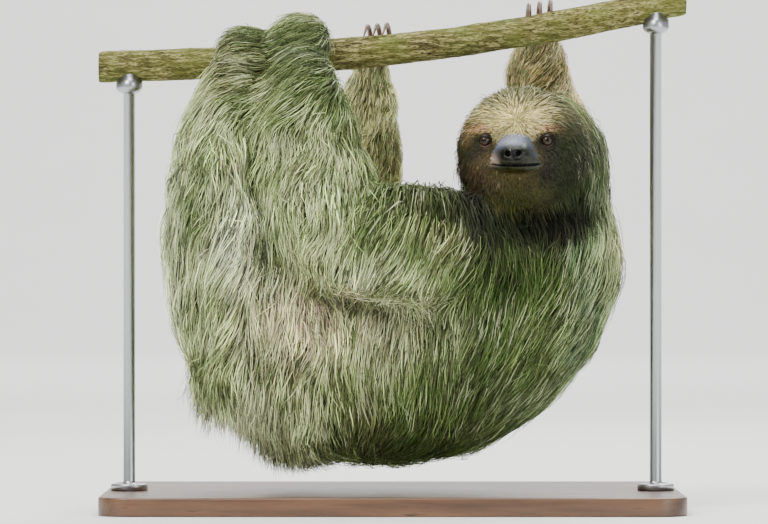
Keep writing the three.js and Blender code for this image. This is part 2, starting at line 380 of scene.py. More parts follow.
def material(name, **constants):
    """A new material, its node helper and its Principled shader with constant sockets set."""
    made = bpy.data.materials.new(name)
    made.use_nodes = True
    shader = made.node_tree.nodes["Principled BSDF"]
    for socket, value in constants.items():
        shader.inputs[socket.replace("_", " ")].default_value = value
    return made, Tree(made.node_tree), shader.inputs


def coloured(values):
    """Red, green and blue with full alpha."""
    return (*values, 1.0)


# ---------------------------------------------------------------- measures of the head
HEAD = np.array([98, -70, 273]) * MM
HEAD_TURN = math.radians(-10)
SKULL = {"side": 49, "up": 47, "front": 40}  # half sizes, millimetres
EYE = {"radius": 5.6, "side": 23.3, "up": 5, "forward": 33.2}  # millimetres
FACE_FULLNESS = 2.7  # 2 would make the face an ellipsoid, more makes it flatter
MOUTH_HALF = 17.6  # half the mouth's width, millimetres
ACROSS = np.array([math.cos(HEAD_TURN), math.sin(HEAD_TURN), 0])
AHEAD = np.array([math.sin(HEAD_TURN), -math.cos(HEAD_TURN), 0])


# ---------------------------------------------------------------- the body's outline
NOT_FLESH = ("branch", "stand", "claw", "eye")
FLESH = [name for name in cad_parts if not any(word in name for word in NOT_FLESH)]
LATTICE = 3 * MM
BORDER = 8  # lattice cells kept free round the body
OUTWARD, INWARD = 8, 13  # cells over which distances are known outside and inside the outline
SURFACE_BAND = 3  # cells about the surface that are enough to find it
THICKNESS_REACH = 5  # cells over which the depth inside the flesh is carried out to its surface
FACET_ROUNDING = 3  # how often the outline of head and limbs is softened
CREASE_FILL = 12  # how often the outline is softened where limbs meet the body
HEAD_ENDS = (0.045, 0.075)  # distances from the head's middle over which it passes into the neck
STOUT = (0.02, 0.032)  # half thicknesses over which a limb counts as slender or stout
TAIL = np.array([-134, -16, 92]) * MM
# Hollows that the coat fills: middle and reach in millimetres, how often the outline is softened
# there, and how far it is raised.
FILLS = (
    ((-134, -16, 92), 50, 60, 1),
    ((-99, -42, 326), 27, 60, 3),
    ((-101, -44, 274), 22, 40, 2),
    ((-3, 26, 326), 28, 8, 4),
    ((113, 26, 350), 24, 8, 3),
    ((12, 0, 246), 26, 40, 1),
)
# Grooves on the near side, where one limb lies against another: depth and half width in
# millimetres, strength of the shade painted along them, and their line by x and z.
GROOVES = (
    (0.8, 4, 0.5, ((-94, 357), (-93, 340), (-96, 318), (-99, 295), (-101, 272))),
    (6, 4.8, 0.85, ((-100, 282), (-99, 252), (-96, 231), (-91.5, 208), (-88, 193))),
    (3.8, 6, 0.15, ((-89, 193), (-78, 185), (-62, 173), (-46, 163), (-17, 159), (10, 159))),
)
TAIL_EDGE = (-124, -0.22)  # the coat ends at this x plus this share of z, millimetres


def from_line(x, z, line):
    """Distance from a broken line in the plane of x and z."""
    nearest = np.full(np.shape(x), np.inf)
    for (x0, z0), (x1, z1) in zip(line, line[1:]):
        run, rise = x1 - x0, z1 - z0
        along = np.clip(((x - x0) * run + (z - z0) * rise) / (run**2 + rise**2), 0, 1)
        nearest = np.minimum(nearest, np.hypot(x - x0 - along * run, z - z0 - along * rise))
    return nearest


def mesh_arrays(nodes):
    """The points and triangles of some CAD nodes, and the number of triangles of each."""
    points, triangles, counts, start = [], [], [], 0
    for name in nodes:
        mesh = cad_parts[name].data
        points.append(point_array(mesh).astype(np.float32))
        triangles.append(corner_array(mesh) + start)
        counts.append(len(triangles[-1]))
        start += len(points[-1])
    return np.concatenate(points), np.concatenate(triangles), counts


def level_set(points, outward, inward, **faces):
    """A grid of distances from a closed surface of triangles or quads."""
    faces = {kind: group.astype(np.uint32) for kind, group in faces.items()}
    transform = openvdb.createLinearTransform(LATTICE)
    make = openvdb.FloatGrid.createLevelSetFromPolygons
    return make(points, transform=transform, exBandWidth=outward, inBandWidth=inward, **faces)


@lru_cache
def joined_flesh():
    """Distance from the surface of all flesh nodes joined, positive outside them."""
    points, triangles, _ = mesh_arrays(FLESH)
    joined, quads = level_set(points, SURFACE_BAND, SURFACE_BAND, triangles=triangles).convertToQuads(0)
    low = np.floor(points.min(0) / LATTICE).astype(int) - BORDER
    high = np.ceil(points.max(0) / LATTICE).astype(int) + BORDER
    values = np.empty(high - low, np.float32)
    distances = level_set(joined, OUTWARD, INWARD, quads=quads)
    distances.copyToArray(values, ijk=tuple(int(n) for n in low))
    return Field(low * LATTICE, LATTICE, values)


@lru_cache
def thickness():
    """Half the thickness of the body about each place."""
    field = joined_flesh()
    values = -field.values
    for _ in range(THICKNESS_REACH):
        for axis in range(3):
            beside = np.maximum(np.roll(values, 1, axis), np.roll(values, -1, axis))
            values = np.maximum(values, beside)
    return Field(field.corner, LATTICE, values)


@lru_cache
def outline():
    """Distance from the coat's outline: the joined flesh with its facets rounded, the creases
    between limbs and body filled and grooves drawn on the near side."""
    field = joined_flesh()
    shape = field.values.shape
    rounded = soften(field.values, FACET_ROUNDING)
    filled = soften(field.values, CREASE_FILL)
    away = np.linalg.norm(field.points() - HEAD, axis=1).reshape(shape)
    off_head = smooth(*HEAD_ENDS, away)
    stout = smooth(*STOUT, thickness().values) * off_head
    values = np.minimum(blend(rounded, filled, stout), blend(rounded, filled, off_head))
    points = field.points() / MM
    for middle, reach, times, raised in FILLS:
        start = ((np.array(middle) * MM - field.corner) / LATTICE).astype(int)
        cells = int(1.4 * reach * MM / LATTICE)
        block = tuple(slice(max(0, n - cells), n + cells) for n in start)
        away = np.linalg.norm(points - middle, axis=1).reshape(shape)[block]
        softened = soften(values[block], times) - raised * MM
        bushy = blend(values[block], softened, smooth(reach, 0.6 * reach, away))
        values[block] = np.minimum(values[block], bushy)
    x, y, z = points.T
    front = smooth(-15, -35, y) * smooth(12, 26, thickness().values.ravel() / MM)
    for deep, half, _, line in GROOVES:
        groove = deep * MM * front * np.exp(-((from_line(x, z, line) / half) ** 2))
        values += groove.reshape(shape)
    edge = (TAIL_EDGE[0] + TAIL_EDGE[1] * z - x - 30 * smooth(105, 150, z)) * MM
    values = np.maximum(values, edge.reshape(shape))
    return Field(field.corner, LATTICE, values.astype(np.float32))


@lru_cache
def outward():
    """The direction straight out of the body."""
    field = outline()
    softened = soften(field.values, 2)
    return Field(field.corner, field.pitch, np.stack(np.gradient(softened), axis=-1))


@lru_cache
def regions():
    """How far each place belongs to each flesh node, on a coarse lattice."""
    fine = outline()
    coarse = 3 * LATTICE
    size = np.ceil(np.array(fine.values.shape) * LATTICE / coarse).astype(int) + 1
    field = Field(fine.corner, coarse, np.zeros((*size, len(FLESH)), np.float32))
    points, triangles, counts = mesh_arrays(FLESH)
    owner = np.repeat(np.arange(len(FLESH)), counts)
    tree = BVHTree.FromPolygons(points.tolist(), triangles.tolist())
    nearest = [owner[tree.find_nearest(point)[2]] for point in field.points().tolist()]
    field.values.reshape(-1, len(FLESH))[np.arange(len(nearest)), nearest] = 1
    field.values = soften(field.values, 2)
    return field


def belonging(points, *words):
    """How far points belong to the nodes whose names hold any of some words."""
    columns = [k for k, name in enumerate(FLESH) if any(word in name for word in words)]
    return regions().at(points)[:, columns].sum(1)


# ---------------------------------------------------------------- the head
def on_face(points):
    """How far points lie sideways, up and forward of the head's middle, in millimetres."""
    away = (points - HEAD) / MM
    return away @ ACROSS, away[:, 2], away @ AHEAD


def from_face(side, up, forward):
    """The place in space of a side, up and forward on the head, the inverse of on_face."""
    ways = ((side, ACROSS), (up, (0, 0, 1)), (forward, AHEAD))
    return HEAD + sum(np.multiply.outer(value, way) for value, way in ways) * MM


def hill(side, up, at_side, at_up, wide, tall, flatness=1.0):
    """1 at its middle and falling off over its widths, the same on both sides of the face."""
    far = ((np.abs(side) - at_side) / wide) ** 2 + ((up - at_up) / tall) ** 2
    return np.exp(-(far**flatness))


def spot(side, up, at_side, at_up, wide, tall):
    """A hill on one side of the face only."""
    return np.exp(-(((side - at_side) / wide) ** 2 + ((up - at_up) / tall) ** 2))


# The edge of the bare skin: height up the face and half width there, millimetres.
BARE_EDGE = ((-20.5, 4), (-19, 10), (-16, 17.5), (-12, 20.4), (-4, 16.4), (3, 13.2), (10, 10.8))


def bare(side, up):
    """How far the face is naked skin: a trapezoid from between the eyes down to the lower lip."""
    half = np.interp(up, *np.transpose(BARE_EDGE))
    ragged = 0.9 * np.sin(up * 1.7) * np.sin(side * 1.3)
    between = smooth(3.0, -3.0, np.abs(side) + ragged - half)
    return between * smooth(-22, -18, up) * smooth(13, 8, up + 0.02 * side**2)


def nose_pad(side, up):
    """How far the face is the moist pad round the nostrils."""
    wide = np.maximum(5, 11.2 + 0.1 * up)
    far = (np.abs(side) / wide) ** 2.4 + (np.abs(up + 5.4) / 4.6) ** 2.4
    return smooth(1.25, 0.6, far)


def mouth_line(side):
    """The height of the line between the lips."""
    return -13.9 + 1.3 * (side / MOUTH_HALF) ** 2


# Swellings and hollows of the face, and the fine ones of the bare muzzle: height, then side, up,
# width and height of the shape in millimetres and how flat its top is.
FACE_HILLS = (
    (12.5, 0, -5.5, 15.6, 12, 1.4),  # muzzle
    (-3, 0, -27, 18, 8, 1),  # hollow under the lower lip
    (1.6, 22, 16, 13, 6, 1),  # brows
    (3.2, 33, -16, 14, 16, 1),  # cheeks
    (-3.4, EYE["side"], EYE["up"], 9, 8, 1),  # eye sockets
)
MUZZLE_HILLS = (
    (-0.5, 0, -9.6, 0.8, 2.2, 1),  # groove under the nose pad
    (0.8, 4.0, -7.8, 2.8, 1.1, 1),  # lower rims of the nostrils
    (-0.35, 0, -4.0, 0.7, 3.5, 1),  # line down the nose pad
)


def face_at(side, up):
    """How far forward the bare skin of the face stands, with every fold of it, in millimetres."""
    far = np.clip(np.hypot(side / SKULL["side"], up / SKULL["up"]), 0, 0.999)
    front = SKULL["front"] * (1 - far**FACE_FULLNESS) ** (1 / FACE_FULLNESS)
    front += sum(height * hill(side, up, *shape) for height, *shape in FACE_HILLS)
    front -= 1.6 * (1 - bare(side, up))
    return lids(side, up, muzzle_folds(side, up, front))


def nostrils(side, up):
    """1 in the two nostrils, which lean towards each other at the top."""
    above = up + 4.9
    beside = np.abs(side) - 4.0 - 0.2 * above
    return np.exp(-(((beside / 1.7) ** 2 + (above / 2.0) ** 2) ** 1.5))


def muzzle_folds(side, up, front):
    """Adds the nose pad with its nostrils, the lips and the fine creases to the plain muzzle."""
    front = front + 0.9 * nose_pad(side, up) - 4.4 * nostrils(side, up)
    front += sum(height * hill(side, up, *shape) for height, *shape in MUZZLE_HILLS)
    over = up - mouth_line(side)
    upper_lip = 0.8 * np.exp(-(((over - 2.2) / 1.7) ** 2))
    lower_lip = 1.0 * np.exp(-(((over + 2.6) / 1.9) ** 2))
    gap = 3.0 * np.exp(-((np.abs(over) / 0.6) ** 1.6))
    front += smooth(MOUTH_HALF + 1.5, MOUTH_HALF - 2, np.abs(side)) * (upper_lip + lower_lip - gap)
    front -= hill(side, up, MOUTH_HALF, -11.6, 2.0, 1.6)
    creases = np.sin(0.9 * np.hypot(side, up + 20) + 0.6 * np.sin(side * 0.6))
    return front + 0.28 * creases * hill(side, up, 17, -8, 4, 7)


def lids(side, up, front):
    """Raises the eyelids round the ball of each eye and sinks the opening behind it."""
    beside, above = np.abs(side) - EYE["side"], up - EYE["up"]
    far = np.hypot(beside, above)
    ball = EYE["forward"] + np.sqrt(np.maximum(EYE["radius"] ** 2 - far**2, 0))
    draped = np.where(far < 7.4, ball + 0.75 - 0.9 * np.maximum(far - 5.0, 0), -99)
    soft = 0.9
    lidded = soft * np.logaddexp(front / soft, draped / soft)
    folds = 0.3 * np.sin((far - 5.2) * 2.6) * smooth(5.0, 6.0, far) * smooth(10.5, 8, far)
    opening = np.hypot(beside / 4.1, (above + 0.2) / np.where(above > -0.2, 3.1, 3.6))
    return blend(lidded + folds, EYE["forward"] - 1.5, smooth(1.07, 0.97, opening))


# ---------------------------------------------------------------- length and lie of the coat
def node_hair(name, coat):
    """How long the hair is on one node of flesh."""
    if name in ("head", "muzzle"):
        return coat.head_hair
    if "hand" in name or "foot" in name:
        return coat.foot_hair
    if name.startswith("right_"):
        upper = "upper_arm" in name or "thigh" in name
        return (coat.body_hair + coat.inner_hair) / 2 if upper else coat.inner_hair
    if "forearm" in name or "shin" in name:
        return coat.limb_hair
    return coat.body_hair


def hair_length(points, coat):
    """How long the hair is at each place on the body."""
    side, up, forward = on_face(points)
    weights = regions().at(points)
    lengths = np.array([node_hair(name, coat) for name in FLESH])
    length = weights @ lengths / weights.sum(1)
    on_head = belonging(points, "head", "muzzle")
    mane = on_head * smooth(24, 40, side) * smooth(26, 8, forward) * smooth(34, 20, up)
    length = blend(length, coat.limb_hair, mane)
    jowl = on_head * smooth(-28, -42, side) * smooth(26, 8, forward) * smooth(24, 4, up)
    length = blend(length, 1.6 * coat.head_hair, jowl)
    brow = coat.face_hair * blend(1.0, 1.8, hill(side, up, 0, 26, 30, 13, 1.6))
    return blend(length, brow, on_head * face_share(side, up, forward))


def face_share(side, up, forward):
    """1 on the short-haired front of the face, 0 on the crown, the cheeks' edge and the nape."""
    edge = np.hypot(side / 42, (up + 4) / np.where(up < -4, 50, 41))
    return smooth(1.08, 0.78, edge) * smooth(0, 14, forward)


def coat_depth(points, coat):
    """How deep the lying coat is at each place, from its outline down to the skin."""
    most = np.interp(thickness().at(points) / MM, [0, 12, 22, 39], [0, 1.2, 3.6, 12]) * MM
    return np.minimum(hair_length(points, coat) * coat.depth_share, most)


# Where the comb turns aside from straight down: x, z and reach in millimetres, then the pull along
# x, y and z.
COMBING = (
    (-118, 345, 40, (-1.3, 0.0, 0.45)),
    (-64, 353, 36, (-1.3, 0.0, 0.45)),
    (122, 342, 24, (-0.9, 0.0, 0.3)),
    (-131, 268, 58, (-0.6, 0.0, 0.0)),
    (-135, 205, 50, (-0.42, 0.0, 0.0)),
    (-92, 205, 20, (0.35, 0.0, 0.0)),
    (-50, 296, 36, (-0.6, 0.0, 0.05)),
    (-20, 222, 50, (-0.5, 0.0, 0.0)),
    (34, 188, 45, (-0.22, 0.0, 0.0)),
    (152, 190, 34, (-0.4, 0.0, 0.0)),
    (152, 145, 40, (-0.75, 0.0, 0.0)),
    (128, 88, 46, (-1.15, 0.0, 0.1)),
    (-110, 120, 50, (-0.2, 0.0, 0.0)),
    (20, 40, 60, (-0.18, 0.0, 0.0)),
)


# Where the hair of the head parts, on the forehead: side, up and forward, millimetres.
WHORL = (0, 17, 30)


@lru_cache
def combing():
    """The direction in which hair is drawn at each place, before it is laid along the skin."""
    lattice = regions()
    points = lattice.points()
    x, z = points[:, 0] / MM, points[:, 2] / MM
    drawn = np.tile([0.0, 0.0, -1.0], (len(points), 1))
    for at_x, at_z, reach, pull in COMBING:
        drawn += spot(x, z, at_x, at_z, reach, reach)[:, None] * pull
    side, _, forward = on_face(points)
    parted = unit(points - from_face(*WHORL))
    parted[:, 2] -= 0.25 * smooth(20, 45, np.abs(side))
    on_head = belonging(points, "head", "muzzle") * smooth(-30, 5, forward)
    drawn = blend(drawn, 1.6 * parted, np.minimum(1, 1.4 * on_head)[:, None])
    return Field(lattice.corner, lattice.pitch, drawn.reshape(*lattice.values.shape[:3], 3))


# ---------------------------------------------------------------- markings, painted light and shade
PALETTE = {
    "moss": linear(132, 153, 80),
    "deep_moss": linear(44, 80, 8),
    "silver": linear(196, 211, 152),
    # Pale colour of painted highlights and painted light, on the coat and on the muzzle.
    "painted_light": linear(248, 252, 224),
    "blue_silver": linear(122, 150, 118),
    "tan": linear(240, 206, 182),
    "brown": linear(167, 152, 110),
    "far_tan": linear(255, 247, 190),
    "far_brown": linear(212, 182, 128),
    # Near-black colour of painted shadow: under the chin and on the shaded side of the face.
    "painted_shadow": linear(5, 4, 3),
    "plum": linear(20, 16, 18),
    "cream": linear(240, 220, 148),
    "rust": linear(236, 166, 122),
    "face_tan": linear(112, 88, 60),
    "umber": linear(26, 17, 13),
    "cheek": linear(46, 33, 25),
    "chin": linear(62, 60, 4),
    "crown": linear(112, 108, 78),
    "mane": linear(72, 77, 66),
    "rose": linear(140, 112, 98),
    "bare_grey": linear(88, 95, 119),
    "bare_pink": linear(186, 160, 142),
    "bare_olive": linear(44, 50, 30),
    "nose_black": linear(2, 6, 2),
}

BRIGHTNESS = (0.3, 0.59, 0.11)  # shares of red, green and blue in how bright a colour looks
UNDERTONE = 0.92  # share of the palette's brightness in strands that are not bleached
# Uneven brightness of the coat: seed, strength and width of each layer of it, metres.
DAPPLE = ((6, 0.46, 0.009), (7, 0.2, 0.0035), (8, 0.3, 0.022))

# Soft patches on the body: colour, strength, then x, z and reach along each in millimetres.
# Besides the coat's own colours they paint light and shade where marked below.
BODY_PATCHES = (
    # Partly painted light: the next two pale patches brighten the left edge, where light spills round
    # the coat.
    ("silver", 0.6, -127, 282, 34, 34),
    ("silver", 0.8, -140, 195, 30, 50),
    # Painted highlights, this patch and the next: light caught by tufts beside the crease between leg
    # and arm.
    ("painted_light", 1.0, -111, 212, 16, 30),
    ("painted_light", 0.8, -110, 243, 12, 10),
    ("silver", 0.8, -58, 238, 28, 42),
    # Painted highlight where light catches a tuft, then painted light along the left edge.
    ("painted_light", 0.75, -17, 186, 18, 12),
    ("painted_light", 0.8, -165, 210, 15, 80),
    # Painted light, this patch and the next: the lower left of the rump, bright with light through its
    # hair.
    ("silver", 1.0, -104, 92, 52, 38),
    ("painted_light", 0.6, -112, 84, 40, 24),
    # Painted light on the middle of the body, which faces slightly down.
    ("silver", 0.6, 20, 150, 44, 28),
    ("blue_silver", 0.8, 140, 203, 12, 24),
    ("blue_silver", 1.0, 153, 172, 13, 22),
    ("blue_silver", 1.0, 139, 136, 15, 22),
    ("blue_silver", 0.9, 112, 91, 17, 18),
    ("blue_silver", 0.7, 84, 59, 20, 14),
    ("deep_moss", 0.5, -142, 222, 15, 26),
    ("deep_moss", 0.5, -139, 126, 12, 24),
    # Painted shade, this patch and the next: the crease between leg and arm.
    ("umber", 0.3, -102, 254, 8, 10),
    ("umber", 0.2, -97, 201, 11, 9),
    ("tan", 0.95, -74, 158, 32, 32),
    ("deep_moss", 0.55, 2, 90, 38, 24),
    ("tan", 0.6, -10, 150, 40, 20),
    # Partly painted shade: the chest under the head, darker than its own green.
    ("deep_moss", 1.0, 88, 190, 54, 34),
    ("deep_moss", 0.85, 82, 126, 44, 42),
    ("deep_moss", 0.75, 26, 56, 84, 25),
    ("deep_moss", 0.6, -40, 318, 14, 34),
    ("mane", 0.7, -62, 346, 26, 24),
    ("brown", 0.7, -116, 343, 30, 22),
    ("mane", 0.45, -112, 354, 26, 15),
    ("silver", 0.5, 16, 186, 30, 14),
    ("umber", 0.4, -64, 360, 22, 12),
    ("umber", 0.25, -112, 352, 22, 10),
    ("deep_moss", 0.4, -112, 348, 30, 22),
    ("deep_moss", 0.3, -62, 350, 30, 24),
    ("deep_moss", 0.3, 16, 96, 60, 40),
    ("deep_moss", 0.4, 96, 110, 50, 60),
    ("mane", 0.9, 144, 292, 16, 30),
    ("blue_silver", 0.75, 152, 250, 15, 34),
    # Painted shadow: the shade under the chin, carried onto the shoulder.
    ("umber", 0.8, 34, 240, 42, 12),
)

# Soft patches on both sides of the face: colour, strength, then side, up and reach along each in
# millimetres.
FACE_PATCHES = (
    ("crown", 1.0, 0, 46, 60, 11),
    ("cream", 1.0, 0, 21, 29, 12),
    ("cheek", 0.95, 30, -22, 16, 16),
    ("chin", 1.0, 0, -36, 30, 17),
    ("cream", 0.7, 13, 9, 4, 5),
    ("rust", 0.8, 25, 14.5, 10, 3.4),
    ("rust", 0.35, 35, 6, 4, 5),
    ("face_tan", 0.9, 18, -6, 5, 6),
    ("umber", 1.0, 24, 4.5, 10, 7.5),
    ("umber", 1.0, 32, -3, 8, 7),
    ("umber", 0.95, 37, -14, 9, 11),
)
# The same on one side only. Dark ones on the positive side are partly the face's own mask and
# partly painted shade on that side of the face.
SIDE_PATCHES = (
    ("plum", 1.0, 42, 2, 15, 32),
    ("umber", 0.95, 28, -12, 13, 15),
    ("umber", 0.95, 15, 4, 6, 6),
    ("chin", 0.4, 20, -7, 4, 3),
    ("umber", 0.7, -45, -8, 7, 26),
    ("rose", 0.4, -15, -24, 6, 4),
    ("umber", 0.8, -42, 4, 8, 22),
    ("umber", 0.7, -15, 4, 4, 5),
    ("face_tan", 0.75, -30, -18, 12, 14),
    ("mane", 0.8, 41, 22, 12, 16),
    ("umber", 0.5, 40, 20, 10, 14),
    ("plum", 0.7, 34, 2, 12, 9),
    # Painted shadow on the shaded side of the face, this patch and the next.
    ("painted_shadow", 0.55, 27, 2, 10, 7),
    ("painted_shadow", 0.75, 31, -17, 14, 15),
)


def markings_and_painted_light(points):
    """Each place's coat colour, painted light and shade included, and share of pale strands."""
    side, up, forward = on_face(points)
    drift = Noise(5, 3).at(points / 0.03)
    x, y, z = (points / MM).T
    x, z = x + 9 * drift[:, 0], z + 9 * drift[:, 1]
    colour = np.tile(PALETTE["moss"], (len(points), 1))

    def lay_on(name, share):
        """Blends a colour of the palette over the markings."""
        nonlocal colour
        colour = blend(colour, PALETTE[name], np.clip(share, 0, 1)[:, None])

    lay_on("brown", 0.5 * smooth(0.1, 0.7, drift[:, 2]))
    for name, strength, *patch in BODY_PATCHES:
        lay_on(name, strength * spot(x, z, *patch))
    # Painted shade along the grooves, where one limb lies against another.
    near_side = smooth(-8, -30, y)
    for _, half, strength, line in GROOVES:
        lay_on("umber", strength * near_side * np.exp(-((from_line(x, z, line) / half) ** 2)))
    lay_on("brown", 0.5 * smooth(0, 50, y))
    lay_on("brown", 0.6 * smooth(185, 225, z) * smooth(-45, -15, y))
    far_leg = belonging(points, "right_shin", "right_thigh", "right_foot")
    lay_on("far_tan", far_leg * blend(0.1, 0.95, smooth(185, 232, z)))
    far_arm = belonging(points, "right_forearm", "right_hand")
    lay_on("far_brown", far_arm * blend(0.3, 0.95, smooth(255, 300, z)))

    on_head = belonging(points, "head", "muzzle")
    lay_on("crown", on_head * smooth(0, 22, up))
    skull_edge = smooth(0.84, 1.0, np.hypot(side / SKULL["side"], up / SKULL["up"]))
    lay_on("mane", 0.75 * on_head * skull_edge * smooth(-10, 0, forward))
    lay_on("mane", 0.6 * on_head * smooth(10, -10, up) * smooth(10, 0, forward))
    nape = belonging(points, "neck", "head") * smooth(36, 52, side) * smooth(-70, -40, up)
    lay_on("mane", 0.8 * nape)
    # A dark band on the positive side of the head: partly its own colour, partly painted shade.
    lay_on("plum", 0.9 * on_head * spot(side, up, 47, 2, 13, 34))
    ahead = smooth(2, 14, forward) * smooth(0.2, 0.6, on_head)
    lay_on("face_tan", ahead * smooth(30, 20, up))
    wander = 1.5 * drift[:, 2]
    for name, strength, *patch in FACE_PATCHES:
        lay_on(name, strength * ahead * hill(side + wander, up + wander, *patch, 1.6))
    for name, strength, *patch in SIDE_PATCHES:
        lay_on(name, strength * ahead * spot(side, up + 3 * wander, *patch))
    # Painted shadow of the head: a near-black band under the chin and down the throat.
    edge = np.hypot((side + 2) / 46, (up + 2) / 46)
    under = smooth(0.86, 0.98, edge) * smooth(1.62, 1.22, edge) * smooth(-8, -26, up)
    under = under * (1 - 0.45 * smooth(-30, -50, side)) * smooth(56, 40, side)
    lay_on("painted_shadow", 1.1 * under * smooth(95, 75, np.abs(forward)))

    light = colour @ BRIGHTNESS
    colour = blend(light[:, None], colour, blend(0.93, 1, on_head)[:, None]).clip(0)
    dapple = sum(size * Noise(seed).at(points / apart) for seed, size, apart in DAPPLE)
    colour = colour * np.exp(dapple * blend(1, 0.5, ahead)[:, None]) * UNDERTONE
    tufts = smooth(-0.35, 0.45, Noise(9).at(points / 0.012)[:, 0])
    most = blend(0.22 + 1.4 * tufts, 0.1 + 0.6 * smooth(0, 12, up), ahead)
    streaked = 0.2 * on_head * smooth(39, 50, side)
    return colour, np.maximum(np.clip(1.3 * light - 0.05, 0.0, 0.4) * most, streaked)


# ---------------------------------------------------------------- skin
FACE_ZONE = 0.86  # share of the skull's half sizes inside which the face's own formula holds
FACE_BACK = 8  # millimetres forward of the head's middle from which it holds


def on_front(side, up, forward):
    """The front of the face, where its own formula holds."""
    return (np.hypot(side / SKULL["side"], up / SKULL["up"]) < FACE_ZONE) & (forward > FACE_BACK)


def round_eyes_and_muzzle(side, up, forward):
    """The parts of the face with the finest folds."""
    by_eye = np.hypot(np.abs(side) - EYE["side"], up - EYE["up"]) < 10
    on_muzzle = (np.abs(side) < 22) & (up > -24) & (up < 10)
    return (forward > 15) & (by_eye | on_muzzle)


def largest_shell(quads, count):
    """The quads of the largest joined surface."""
    links = [[] for _ in range(count)]
    for a, b, c, d in quads.tolist():
        links[a].append(b)
        links[b].extend((a, c))
        links[c].extend((b, d))
        links[d].extend((c, a))
        links[a].append(d)
    shell = np.full(count, -1)
    for start in range(count):
        if shell[start] >= 0:
            continue
        stack = [start]
        shell[start] = start
        while stack:
            for beside in links[stack.pop()]:
                if shell[beside] < 0:
                    shell[beside] = start
                    stack.append(beside)
    names, sizes = np.unique(shell, return_counts=True)
    return quads[shell[quads[:, 0]] == names[sizes.argmax()]]


def body_surface(coat):
    """The quads of the skin: the outline drawn in by the depth of the coat, with soft creases."""
    field = outline()
    values = field.values.ravel().copy()
    near = np.flatnonzero((values > -INWARD * LATTICE * 0.98) & (values < 2 * LATTICE))
    values[near] += coat_depth(field.points()[near], coat)
    grid = openvdb.FloatGrid(OUTWARD * LATTICE)
    grid.copyFromArray(soften(values.reshape(field.values.shape), 2))
    points, quads = grid.convertToQuads(0)
    quads = largest_shell(quads, len(points))
    kept, numbers = np.unique(quads, return_inverse=True)
    return field.corner + points[kept] * LATTICE, numbers.reshape(quads.shape)


FACE_CUTS = 2  # new points on each edge where the face is refined


def refine(piece, chosen):
    """Cuts each edge of the faces that chosen(side, up, forward) picks by their middles."""
    mesh = bmesh.new()
    mesh.from_mesh(piece.data)
    middles = np.array([face.calc_center_median() for face in mesh.faces])
    picked = chosen(*on_face(middles))
    edges = {edge for face, pick in zip(mesh.faces, picked) if pick for edge in face.edges}
    edges = sorted(edges, key=lambda edge: edge.index)
    bmesh.ops.subdivide_edges(mesh, edges=edges, cuts=FACE_CUTS, use_grid_fill=True)
    mesh.to_mesh(piece.data)
    mesh.free()


def unwrap(piece):
    """Unwraps a piece into its own UV map, OFBake."""
    bpy.context.view_layer.objects.active = piece
    piece.select_set(True)
    piece.data.uv_layers.new(name="OFBake")
    bpy.ops.object.mode_set(mode="EDIT")
    bpy.ops.mesh.select_all(action="SELECT")
    bpy.ops.uv.smart_project(angle_limit=math.radians(66), island_margin=0.003)
    bpy.ops.object.mode_set(mode="OBJECT")
    piece.select_set(False)


def make_skin(coat, skin):
    """Builds the skin, models the face in it and paints it."""
    points, quads = body_surface(coat)
    piece = mesh_object("skin", points, [quads], skin_material(skin))
    unwrap(piece)
    refine(piece, on_front)
    refine(piece, round_eyes_and_muzzle)
    points = point_array(piece.data)
    side, up, forward = on_face(points)
    far = np.hypot(side / SKULL["side"], up / SKULL["up"])
    share = smooth(FACE_ZONE, FACE_ZONE - 0.16, far) * (forward > FACE_BACK)
    moved = blend(forward, face_at(side, up), share)
    points = np.where(share[:, None] > 0, from_face(side, up, moved), points)
    piece.data.vertices.foreach_set("co", points.astype(np.float32).ravel())
    piece.data.polygons.foreach_set("use_smooth", np.ones(len(piece.data.polygons), bool))
    piece.data.update()
    colour, _ = markings_and_painted_light(points)
    side, up, forward = on_face(points)
    ahead = smooth(12, 20, forward) * belonging(points, "head", "muzzle")
    naked, pad = bare(side, up) * ahead, nose_pad(side, up) * ahead
    give_colour(piece, paint_muzzle(colour, side, up, naked, pad))
    rim = ahead * hill(side, up, EYE["side"], EYE["up"], 7, 6.5, 2)
    give(piece, "skin_marks", np.stack([naked, pad, rim], axis=1))
    place(piece, "bare_skin", *FLESH)


